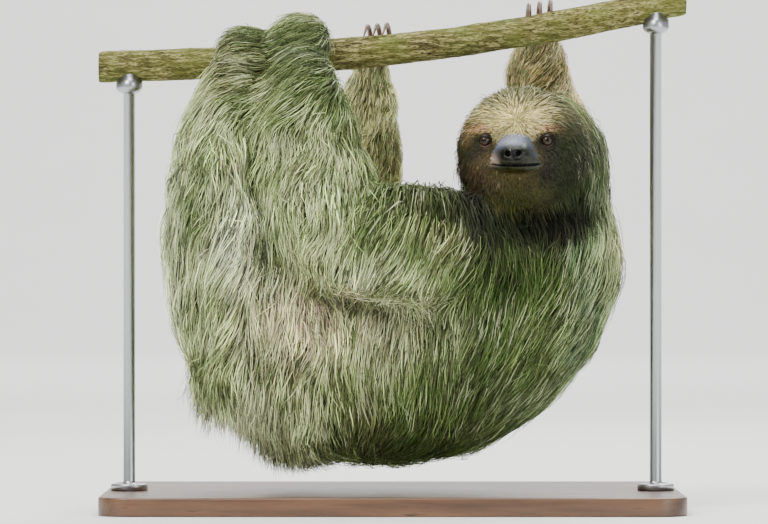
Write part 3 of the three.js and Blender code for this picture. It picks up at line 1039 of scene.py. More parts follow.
def paint_muzzle(colour, side, up, naked, pad):
    """Lays the bare skin's colours over the undercoat's, with painted highlights and shade."""

    def shaded(base, *layers):
        """A colour under layers of a palette's colour, its brightness and the share of it."""
        for name, brightness, share in layers:
            base = blend(base, brightness * PALETTE[name], share[:, None])
        return base

    corner = smooth(-2, -8, up) * smooth(-8, -13, side) * smooth(-15, -12, up)
    lip_ends = smooth(6, 11, np.abs(side - 1)) * smooth(-18.5, -16, up)
    lower_lip = shaded(0.3 * PALETTE["chin"], ("bare_olive", 0.8, lip_ends))
    grey = shaded(
        PALETTE["bare_grey"],
        ("bare_olive", 1, 0.8 * smooth(-4, -11, up)),
        ("bare_pink", 1, 0.8 * corner),
        # Painted shade on the positive side of the bridge.
        ("bare_olive", 1, 0.5 * smooth(3, 10, side)),
        # Painted highlights, this spot and the next: glints of light on the bridge of the nose.
        ("painted_light", 1, 0.16 * spot(side, up, -3.5, 3.5, 7, 4.5)),
        ("painted_light", 1, 0.25 * spot(side, up, 7.8, 0.5, 1.6, 2.6)),
        ("bare_olive", 0.25, hill(side - 2, up, 0, -10.5, 13.5, 7, 2)),
        ("bare_olive", 0.35, hill(side, up, 0, -5.4, 16, 7.5, 3)),
    )
    grey = blend(grey, lower_lip, smooth(-14.2, -15, up)[:, None])
    edge = shaded(0.36 * colour, ("face_tan", 1, 0.5 * smooth(0, 0.4, naked)))
    eye_at = (EYE["side"], EYE["up"])
    lower_lid = hill(side, up, EYE["side"], EYE["up"] - 1.5, 5.3, 5.0, 4)
    lower_lid = lower_lid * smooth(-1.5, -4, up - EYE["up"])
    colour = shaded(
        blend(edge, grey, smooth(0.15, 0.9, naked)[:, None]),
        ("nose_black", 1, naked * np.exp(-((np.abs(up - mouth_line(side)) / 0.8) ** 2))),
        ("umber", 0.5, hill(side, up, *eye_at, 7.5, 7, 3)),
        ("rose", 1, blend(0.55, 0.15, smooth(-5, 5, side)) * lower_lid),
        ("nose_black", 1, pad),
    )
    # Darker in the nostrils: painted shade in their hollows.
    return colour * (1 - 0.8 * naked * nostrils(side, up))[:, None]


def skin_material(skin):
    """Painted skin, damp on the nose and finely creased where it is bare."""
    made, nodes, shader = material("Sloth skin", Specular_IOR_Level=0.22)
    naked, pad, rim = nodes.parts(nodes.attribute("skin_marks", "Vector"))
    here = nodes.here()
    paint = nodes.mottled(nodes.attribute("paint"), coloured(skin.blotch), here, 260, 0.35)
    nodes.feed(shader["Base Color"], paint["Colour"])
    pores = nodes.add("ShaderNodeTexVoronoi", {"Vector": here, "Scale": 900.0}).outputs["Distance"]
    hairless = nodes.math("MAXIMUM", naked, rim)
    height = nodes.math("ADD", nodes.math("MULTIPLY", pores, hairless), nodes.noise(here, 420, 4))
    nodes.feed(shader["Normal"], nodes.bump(height, 0.35, 0.0006))
    dull = nodes.spread(hairless, 0, 1, 0.85, 0.25)
    nodes.feed(shader["Roughness"], nodes.math("SUBTRACT", dull, nodes.math("MULTIPLY", pad, 0.06)))
    return made


# ---------------------------------------------------------------- coat
CLUMP_SIZE = 9  # locks drawn towards one leader
GUARD_SHARE = 0.6  # locks that are thin guard hair over the wider ones of the undercoat
PATCH = 0.003  # width of one lock's patch on the unwrapped skin
WILD_SHARE = 0.07  # locks that stray far more than the others
SPRINGY_SHARE = 0.15  # locks that stand off the coat
FAR_THINNER = 0.3  # share of the locks that the far limbs lack
FAR_WIDER = 0.25  # how much wider their locks are
# The hair that hangs free under the rump: x and z from the tail and reach along each, millimetres.
HANGING = (14, -10, 72, 50)
# The two layers of the coat.  Length, width and count of pale locks are shares of the usual.  Sink is
# how deep a lock lies under the coat's outline, millimetres.  Shade is its brightness on the head and
# off it, and uneven is how much that varies off the head.
GUARD = {
    "length": 1.05,
    "width": (0.38, 0.78),
    "pale": 1.6,
    "sink": (-2.2, 2.0),
    "shade": (1.18, 1.22),
    "uneven": 0.62,
}
UNDER = {
    "length": 0.9,
    "width": (1.0, 1.7),
    "pale": 0.25,
    "sink": (0.6, 4.2),
    "shade": (0.74, 0.48),
    "uneven": 0.3,
}


def scatter(piece, count, weigh, rng):
    """Roots over the skin, with their normals and places on its unwrap. weigh(points) says how
    thickly they stand."""
    mesh = piece.data
    corners = corner_array(mesh)
    unwrapped = np.empty(2 * len(mesh.loops), np.float32)
    mesh.uv_layers["OFBake"].data.foreach_get("uv", unwrapped)
    triangles = point_array(mesh)[corners]
    normals = point_array(mesh, "normal")[corners]
    places = unwrapped.reshape(-1, 2)[corner_array(mesh, "loops")]
    a, b, c = triangles.transpose(1, 0, 2)
    area = np.linalg.norm(np.cross(b - a, c - a), axis=1)
    chance = np.cumsum(area * weigh(triangles.mean(1)))
    picked = np.searchsorted(chance, (np.arange(count) + rng.random(count)) / count * chance[-1])
    picked = np.minimum(picked, len(triangles) - 1)
    u, v = rng.random((2, count))
    u, v = np.where(u + v > 1, 1 - u, u), np.where(u + v > 1, 1 - v, v)
    share = np.stack([1 - u - v, u, v], axis=1)[..., None]
    arrays = (triangles, normals, places)
    root, normal, place_on_map = ((array[picked] * share).sum(1) for array in arrays)
    return root, unit(normal), place_on_map


def parting(points, up):
    """The comb's pull inward and along the body at each place, and how near to 1 the place is to a
    parting, where hair is drawn straight in and falls away to all sides."""
    drawn = combing().at(points)
    inward = dot(drawn, up)
    along = drawn - inward * up
    return inward, along, smooth(0.55, 0.15, np.linalg.norm(along, axis=1))[:, None]


def laid(points, up, stray):
    """The comb's direction at each place, laid along the body. At a parting each lock falls its own
    way, so that they cross and cover the skin."""
    inward, along, parted = parting(points, up)
    own_way = unit(stray - dot(stray, up) * up)
    return unit(along + 0.14 * (1 - parted) * inward * up + 0.6 * parted * own_way)


def grow(roots, normals, length, lift, sink, segments, rng):
    """The path of each lock: out of the skin, over into the lie of the coat and no further out than
    the coat's outline."""
    count, steps = len(roots), 2 * segments
    stride = (length / steps)[:, None]
    stray = rng.normal(0, 1, (count, 3)) * np.where(rng.random((count, 1)) < WILD_SHARE, 3.5, 1)
    x, _, z = ((roots - TAIL) / MM).T
    at_x, at_z, reach_x, reach_z = HANGING
    hanging = smooth(1.2, 0.6, np.hypot((x - at_x) / reach_x, (z - at_z) / reach_z))
    side, up, forward = on_face(roots)
    jowl = smooth(-30, -40, side) * smooth(-48, -34, up) * smooth(24, 12, up)
    jowl = jowl * smooth(-30, -10, forward)
    springy = rng.uniform(1.5, 5.5, count) * (rng.random(count) < SPRINGY_SHARE)
    slack = (sink - (springy + 8 * jowl * smooth(0, -14, up) + 22 * hanging)) * MM
    wave = Noise(11, 3)
    limbs = belonging(roots, "forearm", "shin", "upper_arm", "thigh", "hand", "foot")
    curl = blend(0.17, 0.28, limbs)[:, None]
    plumb = np.maximum(0.9 * hanging, 0.85 * jowl)[:, None]
    place_now = roots - 0.8 * MM * normals
    heading = unit(laid(roots, normals, stray) + lift[:, None] * normals + 0.1 * stray)
    path = [place_now]
    for step in range(1, steps + 1):
        place_now = place_now + heading * stride
        out = unit(outward().at(place_now))
        bend = curl * wave.at(place_now / 0.02) + 0.06 * stray + 0.08 * rng.normal(0, 1, (count, 3))
        drawn = blend(laid(place_now, out, stray), (0, 0, -1), plumb)
        heading = unit(0.5 * heading + 0.5 * drawn + bend)
        over = outline().at(place_now) + slack
        rising = np.maximum(0, dot(heading, out)) * smooth(-4 * MM, 0, over)[:, None]
        heading = heading - out * rising
        place_now = place_now - out * np.maximum(0, over)[:, None]
        if step % 2 == 0:
            path.append(place_now)
    return np.stack(path, axis=1)


def clump(path, amount, rng):
    """Draws the tips of neighbouring locks together."""
    leaders = rng.choice(len(path), len(path) // CLUMP_SIZE, replace=False)
    tree = KDTree(len(leaders))
    for number, root in enumerate(path[leaders, 0].tolist()):
        tree.insert(root, number)
    tree.balance()
    nearest = leaders[[tree.find(root)[1] for root in path[:, 0].tolist()]]
    pull = np.linspace(0, 1, path.shape[1]) ** 1.5
    return path + amount[:, None, None] * pull[None, :, None] * (path[nearest] - path)


def lock_mesh(name, path, normals, width, colour, tint, pale, places, made):
    """Closed three-sided locks that taper from their middle to a point."""
    count, rings = len(path), path.shape[1] - 1
    along = unit(np.gradient(path, axis=1))
    across = unit(np.cross(along, normals[:, None]))
    over = np.cross(across, along)
    length_share = np.arange(rings) / rings
    girth = 0.5 * width[:, None] * np.interp(length_share, [0, 0.34, 1], [0.6, 1, 0.5])
    flat, deep = np.array([(-1, -0.4), (1, -0.4), (0, 0.7)]).T[..., None]
    sides = flat * across[:, :rings, None] + deep * over[:, :rings, None]
    rows = path[:, :rings, None] + girth[..., None, None] * sides
    points = np.concatenate([rows.reshape(count, -1, 3), path[:, -1:]], axis=1)
    each = points.shape[1]
    e = np.arange(3)
    f = (e + 1) % 3
    ladder = np.stack([e, e + 3, f + 3, f], axis=1)
    ladder = np.concatenate([ladder + 3 * row for row in range(rings - 1)])
    peak = np.stack([f + 3 * (rings - 1), e + 3 * (rings - 1), np.full(3, each - 1)], axis=1)
    triangles = np.concatenate([[[0, 1, 2]], peak])
    start = np.arange(count)[:, None, None] * each
    faces = [(ladder + start).reshape(-1, 4), (triangles + start).reshape(-1, 3)]
    piece = mesh_object(name, points.reshape(-1, 3), faces, made)
    give_colour(piece, np.repeat(colour, each, axis=0))
    length_share = np.append(np.repeat(length_share, 3), 1)
    width_share = np.append(np.tile([0, 1, 0.5], rings), 0.5)
    strand = [np.tile(length_share, count), np.repeat(tint, each), np.repeat(pale, each)]
    give(piece, "strand", np.stack(strand, axis=1))
    spots = places[:, None] + PATCH * (np.stack([width_share, length_share], axis=1) - 0.5)
    order = np.empty(len(piece.data.loops), np.int32)
    piece.data.loops.foreach_get("vertex_index", order)
    spots = np.clip(spots.reshape(-1, 2)[order], 0, 1).astype(np.float32)
    piece.data.uv_layers.new(name="OFBake").data.foreach_set("uv", spots.ravel())
    return piece


def furred(points):
    """0 where no hair grows: on the muzzle and in the eyes' openings."""
    side, up, forward = on_face(points)
    ahead = smooth(12, 20, forward) * (belonging(points, "head", "muzzle") > 0.3)
    naked = np.maximum(bare(side, up), hill(side, up, EYE["side"], EYE["up"], 6.2, 5.8, 4))
    return 1 - smooth(0.35, 0.95, naked * ahead)


ANYWHERE = (-math.inf, math.inf)
UNDER_SEGMENTS = 2  # segments of a lock in the undercoat
# Pieces of the coat: name, the words in the names of its flesh nodes, its reach of x in millimetres
# and the segments of a lock in its guard hair.
COAT_PIECES = (
    ("coat_head", ("head", "muzzle"), ANYWHERE, 2),
    ("coat_left_arm", ("left_upper_arm", "left_forearm", "left_hand"), ANYWHERE, 3),
    ("coat_left_leg", ("left_thigh", "left_shin", "left_foot"), ANYWHERE, 3),
    ("coat_right_limbs", ("right_",), ANYWHERE, 2),
    ("coat_rump", ("trunk", "tail"), (-math.inf, -42), 3),
    ("coat_back", ("trunk", "tail"), (-42, 48), 3),
    ("coat_chest", ("trunk", "tail"), (48, math.inf), 3),
    ("coat_neck", ("neck",), ANYWHERE, 3),
)


def lock_width(length, coat):
    """How wide a lock of some length is."""
    return coat.lock_width * np.clip((length / coat.body_hair) ** 0.25, 0.5, 1)


WASHED = (0.92, 1.12, 0.46)  # the tint towards which the brightest locks fade


def dye(roots, colour, guard, rng):
    """The colour of each lock: the coat's at its root, with stray hues and uneven brightness."""
    side, up, _ = on_face(roots)
    on_head = belonging(roots, "head", "muzzle")
    off_head = 1 - on_head
    hue = rng.random((len(roots), 1))
    stained = np.where(hue < 0.4, PALETTE["deep_moss"], colour)
    stained = np.where(hue < 0.22, PALETTE["brown"], stained)
    stained = stained * (colour.mean(1) / stained.mean(1).clip(0.01))[:, None] ** 0.6
    colour = blend(colour, stained, 0.42 * off_head[:, None])
    uneven = np.where(guard, GUARD["uneven"], UNDER["uneven"])
    uneven = blend(0.17 + 0.14 * smooth(4, 12, up), uneven, off_head)
    streaky = np.maximum(smooth(18, 38, up), smooth(30, 44, np.abs(side)))
    uneven = blend(uneven, 0.78, on_head * streaky)
    on, off = (np.where(guard, *pair) for pair in zip(GUARD["shade"], UNDER["shade"]))
    shade = blend(on, off, off_head)
    shade = (shade * np.exp(uneven * rng.normal(0, 1, len(roots)).clip(-2.5, 1.7)))[:, None]
    washed = (colour @ BRIGHTNESS)[:, None] * WASHED
    near_body = (off_head - belonging(roots, "right_")).clip(0)[:, None]
    return blend(colour, washed, 0.5 * smooth(1.2, 2.6, shade) * near_body) * shade


def make_coat(skin_piece, coat):
    """Grows the whole coat: one undercoat piece and one guard hair piece for each part."""
    rng = np.random.default_rng(4)
    made = coat_material(coat)

    def closeness(points):
        """How closely the locks stand, so that short ones cover the skin as well as long ones."""
        length = np.maximum(hair_length(points, coat), 3 * MM)
        parted = parting(points, unit(outward().at(points)))[2][:, 0]
        on_near = 1 - FAR_THINNER * belonging(points, "right_")
        return furred(points) * on_near * (1 + parted) / (length * lock_width(length, coat))

    def drawn(key):
        """A random value for each lock, from the range of its layer."""
        return np.where(guard, rng.uniform(*GUARD[key], count), rng.uniform(*UNDER[key], count))

    roots, normals, places = scatter(skin_piece, coat.locks, closeness, rng)
    count = len(roots)
    length = hair_length(roots, coat) * rng.uniform(0.75, 1.15, count)
    colour, pale_share = markings_and_painted_light(roots)
    guard = rng.random(count) < GUARD_SHARE
    length = length * np.where(guard, GUARD["length"], UNDER["length"])
    is_pale = rng.random(count) < pale_share * np.where(guard, GUARD["pale"], UNDER["pale"])
    width = lock_width(length, coat) * drawn("width")
    width = width * (1 + FAR_WIDER * belonging(roots, "right_"))
    pale = np.where(is_pale, rng.uniform(0.5, 1.0, count), rng.uniform(0, 0.12, count))
    tint = rng.random(count)
    colour = dye(roots, colour, guard, rng)
    lift = rng.uniform(0.3, 0.85, count) + 0.5 * guard
    sink = drawn("sink") * np.minimum(1, coat_depth(roots, coat) / (4 * MM))
    owner = regions().at(roots).argmax(1)
    x = roots[:, 0] / MM
    for name, words, (low, high), segments in COAT_PIECES:
        members = [k for k, node in enumerate(FLESH) if any(word in node for word in words)]
        here = np.isin(owner, members) & (x >= low) & (x < high)
        for layer, chosen, parts in (("under", ~guard, UNDER_SEGMENTS), ("guard", guard, segments)):
            mine = np.flatnonzero(here & chosen)
            way = (roots[mine], normals[mine], length[mine], lift[mine], sink[mine])
            path = grow(*way, parts, rng)
            path = clump(path, rng.uniform(0.05, 0.5, len(mine)), rng)
            lock = (width[mine], colour[mine], tint[mine], pale[mine], places[mine])
            place(lock_mesh(f"{name}_{layer}", path, normals[mine], *lock, made), "coat")


def coat_material(coat):
    """Matt hair that takes its colour along the strand from the attributes."""
    made, nodes, shader = material("Sloth coat", Specular_IOR_Level=0.12)
    along, tint, pale = nodes.parts(nodes.attribute("strand", "Vector"))
    inputs = {
        "Colour": nodes.attribute("paint"),
        "Tip Colour": coloured(coat.tip_colour),
        "Along": along,
        "Tint": tint,
        "Pale": pale,
    }
    hair = nodes.group(strand_colour(), inputs)["Colour"]
    here = nodes.here()
    greened = nodes.mottled(hair, coloured(coat.algae), here, 34, 0.14)
    nodes.feed(shader["Base Color"], greened["Colour"])
    nodes.feed(shader["Roughness"], nodes.spread(nodes.noise(here, 300), 0.3, 0.7, 0.55, 0.8))
    return made


# ---------------------------------------------------------------- branch, claws and eyes
PERCH_BACK = -20  # y of the branch's middle line, millimetres
# The branch's middle line and half sizes, millimetres.
BRANCH_STATIONS = (
    (-240, 0, 335, 11.4, 11.6),
    (-184, 1, 337, 11.6, 11.6),
    (-108, -1, 340, 11.9, 12),
    (-36, 1, 346, 12, 11.8),
    (44, 0, 354, 11.6, 11.6),
    (82, -1, 360, 11.4, 11.5),
    (127, 0, 367, 11.3, 11.4),
    (180, 1, 378, 11, 11.2),
    (240, 0, 390, 10.6, 10.8),
)
BRANCH_HALF = 223  # half its cut length, millimetres


SAWN_RINGS = (0.98, 0.7, 0.35)  # the rings on a sawn end, as shares of the branch's width


@lru_cache
def branch_line():
    """The branch's middle line and half sizes at close steps, millimetres."""
    return through(BRANCH_STATIONS, 2000)


def branch_at(x):
    """Middle and half sizes of the branch at each x, millimetres."""
    line = branch_line()
    return np.stack([np.interp(x, line[:, 0], line[:, k]) for k in range(5)], axis=-1)


def make_branch(branch):
    """Builds the branch: cracked bark, slow lumps and two sawn ends."""
    rows, around = 400, 104
    x = np.linspace(-BRANCH_HALF, BRANCH_HALF, rows)
    middle = branch_at(x)
    turn = np.arange(around) / around * math.tau
    along = np.repeat(x, around)
    sweep = np.tile(turn, rows)
    round_about = np.stack([along / 46, 3.2 * np.cos(sweep), 3.2 * np.sin(sweep)], axis=1)
    waver = 0.35 * Noise(21, 3).at(round_about * 1.3)
    ridges = sum(
        (1 - 2 * np.abs(Noise(30 + k).at(round_about * scale + waver)[:, 0])) * size
        for k, (scale, size) in enumerate(((1.1, 0.5), (2.3, 0.42), (5.0, 0.28)))
    )
    lumps = Noise(22).at(np.stack([along / 30, np.cos(sweep), np.sin(sweep)], axis=1))[:, 0]
    relief = (branch.bark_relief / MM * ridges + 0.5 * lumps).reshape(rows, around)
    relief *= smooth(0, 3, BRANCH_HALF - np.abs(x))[:, None]
    deep, tall = (middle[:, k, None] + relief - 0.4 for k in (3, 4))
    rings = np.empty((rows, around, 3))
    rings[..., 0] = x[:, None]
    rings[..., 1] = middle[:, 1, None] + PERCH_BACK + deep * np.cos(turn)
    rings[..., 2] = middle[:, 2, None] + tall * np.sin(turn)
    ends = []
    for end in (rings[0], rings[-1]):
        centre = end.mean(0)
        ends.append([centre + (end - centre) * share for share in SAWN_RINGS])
    rings = np.concatenate([ends[0][::-1], rings, ends[1]])
    flat = np.zeros((len(SAWN_RINGS), around))
    height = np.concatenate([flat, relief, flat]).ravel()
    sawn = np.concatenate([flat + 1, np.zeros(relief.shape), flat + 1]).ravel()
    piece = loft("branch_bark", rings * MM, bark_material(branch))
    marks = np.stack([height, sawn, 0 * sawn], axis=1)
    give(piece, "bark_marks", np.concatenate([marks, [[0, 1, 0]] * 2]))
    place(piece, "bark", "branch")


def bark_material(branch):
    """Cracked bark with pale streaks and a film of lichen."""
    made, nodes, shader = material("Bark", Specular_IOR_Level=0.25)
    height, sawn, _ = nodes.parts(nodes.attribute("bark_marks", "Vector"))
    here = nodes.here()
    streak = nodes.group(grain(), {"Vector": here, "Scale": 380, "Stretch": 5})
    ridge = nodes.spread(height, -0.7, 0.9)
    colour = nodes.mix(ridge, coloured(branch.groove), coloured(branch.bark))
    weathered = nodes.spread(streak["Streak"], 0.46, 0.62)
    colour = nodes.mix(weathered, colour, coloured(branch.bark_pale))
    colour = nodes.mix(nodes.spread(streak["Fine"], 0.5, 0.38), colour, coloured(branch.groove))
    lichen = nodes.mottled(colour, coloured(branch.lichen), here, 30, 0.5)
    pith = nodes.group(grain(), {"Vector": here, "Scale": 500, "Stretch": 1})
    wood = nodes.mix(pith["Streak"], coloured(branch.sawn), coloured(branch.bark))
    nodes.feed(shader["Base Color"], nodes.mix(sawn, lichen["Colour"], wood))
    nodes.feed(shader["Roughness"], nodes.spread(streak["Fine"], 0.3, 0.7, 0.75, 0.95))
    rough = nodes.math("ADD", streak["Streak"], streak["Fine"])
    nodes.feed(shader["Normal"], nodes.bump(rough, 0.8, 0.0012))
    return made


# Degrees round the branch from its top towards the back, with the height of the claw's middle over
# the branch's at each, millimetres, from root to tip.
OVER_FROM_FRONT = ((26, 20), (60, 21), (98, 20), (140, 18), (180, 16.5), (216, 14.6))
OVER_FROM_BEHIND = ((84, 18), (56, 20), (26, 20.5), (0, 19), (-22, 16), (-40, 13.6))
# Foot: x of the roots and of the tips, thickness of a claw, distance between claws, and the hook.
FEET = {
    "left_hand": (-72, -72, 3.5, 8.2, OVER_FROM_FRONT),
    "left_foot": (-107, -106, 3.0, 7.2, OVER_FROM_FRONT),
    "right_hand": (112, 112, 3.5, 8.2, OVER_FROM_BEHIND),
    "right_foot": (-8, -15, 3.0, 7.2, OVER_FROM_BEHIND),
}


def make_claws(claw):
    """Places three hooks on each foot, bent over the branch."""
    made = claw_material(claw)
    for foot, (root_x, tip_x, thick, apart, hook) in FEET.items():
        degrees, height = np.array(hook).T
        angle = np.radians(degrees)
        for number in (1, 2, 3):
            x = blend(root_x, tip_x, np.linspace(0, 1, len(hook))) + (number - 2) * apart
            middle = branch_at(x)
            y = middle[:, 1] + PERCH_BACK + height * np.sin(angle)
            stations = np.stack([middle[:, 0], y, middle[:, 2] + height * np.cos(angle)], axis=1)
            claw_piece(f"{foot}_claw_{number}", stations, thick, made)


def claw_piece(node, stations, thick, made):
    """A horn hook, blunt at the root, keeled along its back and drawn to a point."""
    rows, around = 44, 20
    line = through(stations, rows)
    forward = unit(np.gradient(line, axis=0))
    side = unit(np.tile([1.0, 0, 0], (rows, 1)) - forward * forward[:, :1])
    other = np.cross(side, forward)
    share = np.linspace(0, 1, rows)
    point = np.sqrt(np.clip(1 - ((share - 0.9) / 0.1).clip(0) ** 2, 0.004, 1))
    half = thick * blend(1, 0.2, share**1.4) * point * smooth(-0.06, 0.04, share)
    turn = np.arange(around) / around * math.tau
    keel = 1 + 0.07 * np.cos(turn) ** 8
    ridges = 1 + 0.012 * np.sin(turn * 7 + 2 * share[:, None])
    spokes = 0.75 * np.sin(turn)[:, None] * side[:, None] + np.cos(turn)[:, None] * other[:, None]
    rings = line[:, None] + (half[:, None] * keel * ridges)[..., None] * spokes
    piece = loft(node.replace("_claw_", "_horn_"), rings * MM, made)
    give(piece, "along", np.append(np.repeat(share, around), [0, 1]))
    place(piece, "claw", node)


def claw_material(claw):
    """Brown horn, darker to the tip, with scuffed patches."""
    made, nodes, shader = material("Claw horn", Specular_IOR_Level=0.5)
    here = nodes.here()
    darker = nodes.spread(nodes.parts(here)[0], 0.03, 0.1, 0.0, 0.8)
    dark = nodes.math("MAXIMUM", nodes.attribute("along", "Fac"), darker)
    colour = nodes.mix(dark, coloured(claw.root), coloured(claw.tip))
    worn = nodes.mottled(colour, coloured(claw.worn), here, 320, 0.35)
    nodes.feed(shader["Base Color"], worn["Colour"])
    nodes.feed(shader["Roughness"], nodes.spread(worn["Mask"], 0, 1, 0.3, 0.5))
    nodes.feed(shader["Normal"], nodes.bump(nodes.noise(here, 900, 3), 0.2, 0.0003))
    return made


def make_eyes(eye):
    """Builds both eyeballs, each with a bulging cornea, looking slightly outward."""
    made = eye_material(eye)
    rows, around = 56, 64
    turn = math.pi * (np.arange(rows) + 0.5) / rows
    spin = np.arange(around) / around * math.tau
    reach = (EYE["radius"] - 0.3 + 0.35 * np.exp(-((turn / 0.55) ** 4)))[:, None]
    out = reach * np.sin(turn)[:, None]
    x, y, z = out * np.cos(spin), out * np.sin(spin), reach * np.cos(turn)[:, None] + 0 * spin
    for node, way in (("eye_left", 1), ("eye_right", -1)):
        gaze = math.radians(7 * way)
        side = way * EYE["side"] + x * math.cos(gaze) + z * math.sin(gaze)
        forward = EYE["forward"] + z * math.cos(gaze) - x * math.sin(gaze)
        rings = from_face(side, EYE["up"] + y, forward)
        piece = loft(f"{node}_ball", rings[:, ::-1], made)
        give(piece, "gaze", np.append(np.repeat(turn, around), [0, math.pi]))
        place(piece, "eye", node)


def eye_material(eye):
    """A wet eye: pupil, fibrous brown iris and the dark ball round them."""
    made, nodes, shader = material("Eye", Specular_IOR_Level=0.26, Roughness=0.04)
    gaze = nodes.attribute("gaze", "Fac")
    fibre = nodes.noise(nodes.here(), 700, 3)
    iris = nodes.mix(fibre, coloured(eye.iris_dark), coloured(eye.iris))
    pupil = nodes.spread(gaze, eye.pupil - 0.05, eye.pupil + 0.03)
    colour = nodes.mix(pupil, (0.003, 0.002, 0.002, 1), iris)
    colour = nodes.mix(nodes.spread(gaze, 0.62, 0.74), colour, coloured(eye.white))
    nodes.feed(shader["Base Color"], colour)
    return made


# ---------------------------------------------------------------- stand
# Sizes of the base and the rods, millimetres.
BASE = {"length": 436, "depth": 300, "thick": 14, "corner": 24, "bevel": 1.5}
ROD = {"radius": 4.5, "foot": 14, "foot_height": 5, "cup": 10, "cup_height": 16, "apart": 400}


def make_base(stand):
    """Builds the wooden base: a slab with round corners and eased edges."""
    corner, rounding, thick = BASE["corner"], BASE["bevel"], BASE["thick"]
    middles, spokes = [], []
    for number, (way_x, way_y) in enumerate(((1, 1), (-1, 1), (-1, -1), (1, -1))):
        turn = np.linspace(0, math.pi / 2, 14) + number * math.pi / 2
        middle = (way_x * (BASE["length"] / 2 - corner), way_y * (BASE["depth"] / 2 - corner))
        middles.append(np.tile(middle, (len(turn), 1)))
        spokes.append(np.stack([np.cos(turn), np.sin(turn)], axis=1))
    middles, spokes = np.concatenate(middles), np.concatenate(spokes)
    bevel = np.linspace(0, math.pi / 2, 7)
    edge = [(rounding * (1 - math.sin(b)), rounding * (1 - math.cos(b))) for b in bevel]
    profile = [(20, 0), *edge, *((inset, thick - z) for inset, z in edge[::-1]), (20, thick)]
    rings = []
    for inset, z in profile:
        flat = middles + spokes * max(corner - inset, 2)
        rings.append(np.column_stack([flat, np.full(len(flat), z)]))
    piece = loft("stand_base_plate", np.array(rings) * MM, walnut_material(stand))
    place(piece, "stand_wood", "stand_base")


def walnut_material(stand):
    """Lacquered dark wood with streaks and pores."""
    lacquer = {"Specular_IOR_Level": 0.5, "Coat_Weight": 0.25, "Coat_Roughness": 0.25}
    made, nodes, shader = material("Dark wood", **lacquer)
    here = nodes.here()
    streak = nodes.group(grain(), {"Vector": here, "Scale": 90, "Stretch": 14})
    figure = nodes.spread(streak["Streak"], 0.35, 0.68)
    colour = nodes.mix(figure, coloured(stand.wood_dark), coloured(stand.wood))
    pores = nodes.spread(streak["Fine"], 0.62, 0.7)
    nodes.feed(shader["Base Color"], nodes.mix(pores, colour, coloured(stand.wood_dark)))
    nodes.feed(shader["Roughness"], nodes.spread(streak["Fine"], 0.3, 0.7, 0.32, 0.5))
    nodes.feed(shader["Normal"], nodes.bump(streak["Fine"], 0.15, 0.0003))
    return made


def rod_profile(floor, top):
    """Radius and height up a rod: its foot with a round shoulder, the shaft and the cup."""
    radius, foot, cup, ease = ROD["radius"], ROD["foot"], ROD["cup"], 1.2
    shoulder = floor + ROD["foot_height"]
    rise = shoulder - ease
    profile = [(0.5, floor), (foot, floor), (foot, rise)]
    for a in np.linspace(0.3, math.pi / 2, 5):
        profile.append((foot - ease * (1 - math.cos(a)), rise + ease * math.sin(a)))
    profile += [(radius + 1.2, shoulder), (radius + 0.3, shoulder + 0.9)]
    profile += [(radius, shoulder + 2.4), (radius, top - 5)]
    for a in np.linspace(0.25, math.pi / 2, 7):
        profile.append((radius + (cup - radius) * math.sin(a) ** 1.5, top - 5 * math.cos(a)))
    return profile


def make_rods(stand):
    """Builds the two steel rods, each from its foot up to a cup that holds the branch."""
    made = steel_material(stand)
    turn = np.arange(72) / 72 * math.tau
    round_x, round_y = np.cos(turn), np.sin(turn)
    for name, x in (("stand_rod_left", -ROD["apart"] / 2), ("stand_rod_right", ROD["apart"] / 2)):
        _, _, middle, _, under = branch_at(np.array([x]))[0]
        rings = [
            (radius * round_x + x, radius * round_y + PERCH_BACK, np.full(len(turn), z))
            for radius, z in rod_profile(BASE["thick"] + 0.3, middle - ROD["cup_height"])
        ]
        for radius, sunk in ((ROD["cup"], 0.6), (ROD["cup"] - 0.8, 0), (6, 0), (3, 0), (0.5, 0)):
            across = radius * round_y
            seat = middle - np.sqrt((under - 0.2) ** 2 - across**2) + 0.1 * radius * round_x - sunk
            rings.append((radius * round_x + x, across + PERCH_BACK, seat))
        piece = loft(f"{name}_turned", np.array(rings).transpose(0, 2, 1) * MM, made)
        place(piece, "stand_steel", name)


def steel_material(stand):
    """Steel brushed round the rod."""
    made, nodes, shader = material("Brushed steel", Metallic=1.0)
    x, y, z = nodes.parts(nodes.here())
    upright = nodes.add("ShaderNodeCombineXYZ", {0: z, 1: x, 2: y}).outputs[0]
    brushed = nodes.group(grain(), {"Vector": upright, "Scale": 1500, "Stretch": 0.08})
    line = nodes.spread(brushed["Streak"], 0.3, 0.7)
    colour = nodes.mix(line, coloured(stand.steel_dark), coloured(stand.steel))
    nodes.feed(shader["Base Color"], colour)
    nodes.feed(shader["Roughness"], nodes.spread(brushed["Fine"], 0.3, 0.7, 0.26, 0.42))
    return made


# ---------------------------------------------------------------- studio
SWEEP = (-9.0, 8.0, 9.6, 2.6, 9.0)  # front edge, height, back, radius of the bend and half width
MIDDLE = (0, -0.02, 0.2)  # where most lamps are aimed
# Lamps: place, aim, width and colour.
LAMPS = {
    "key": ((-1.6, -2.2, 2.4), MIDDLE, 1.6, (1.0, 0.98, 0.94)),
    "fill": ((2.4, -2.6, 1.0), MIDDLE, 2.2, (0.94, 0.97, 1.0)),
    "rim": ((0.8, 1.5, 2.0), MIDDLE, 1.4, (1.0, 1.0, 0.96)),
    "top": ((0, -0.2, 2.8), MIDDLE, 2.0, (1.0, 1.0, 1.0)),
    "backdrop": ((0, 4.6, 4.6), (0, 8.0, 0.0), 4.0, (1.0, 1.0, 1.0)),
}


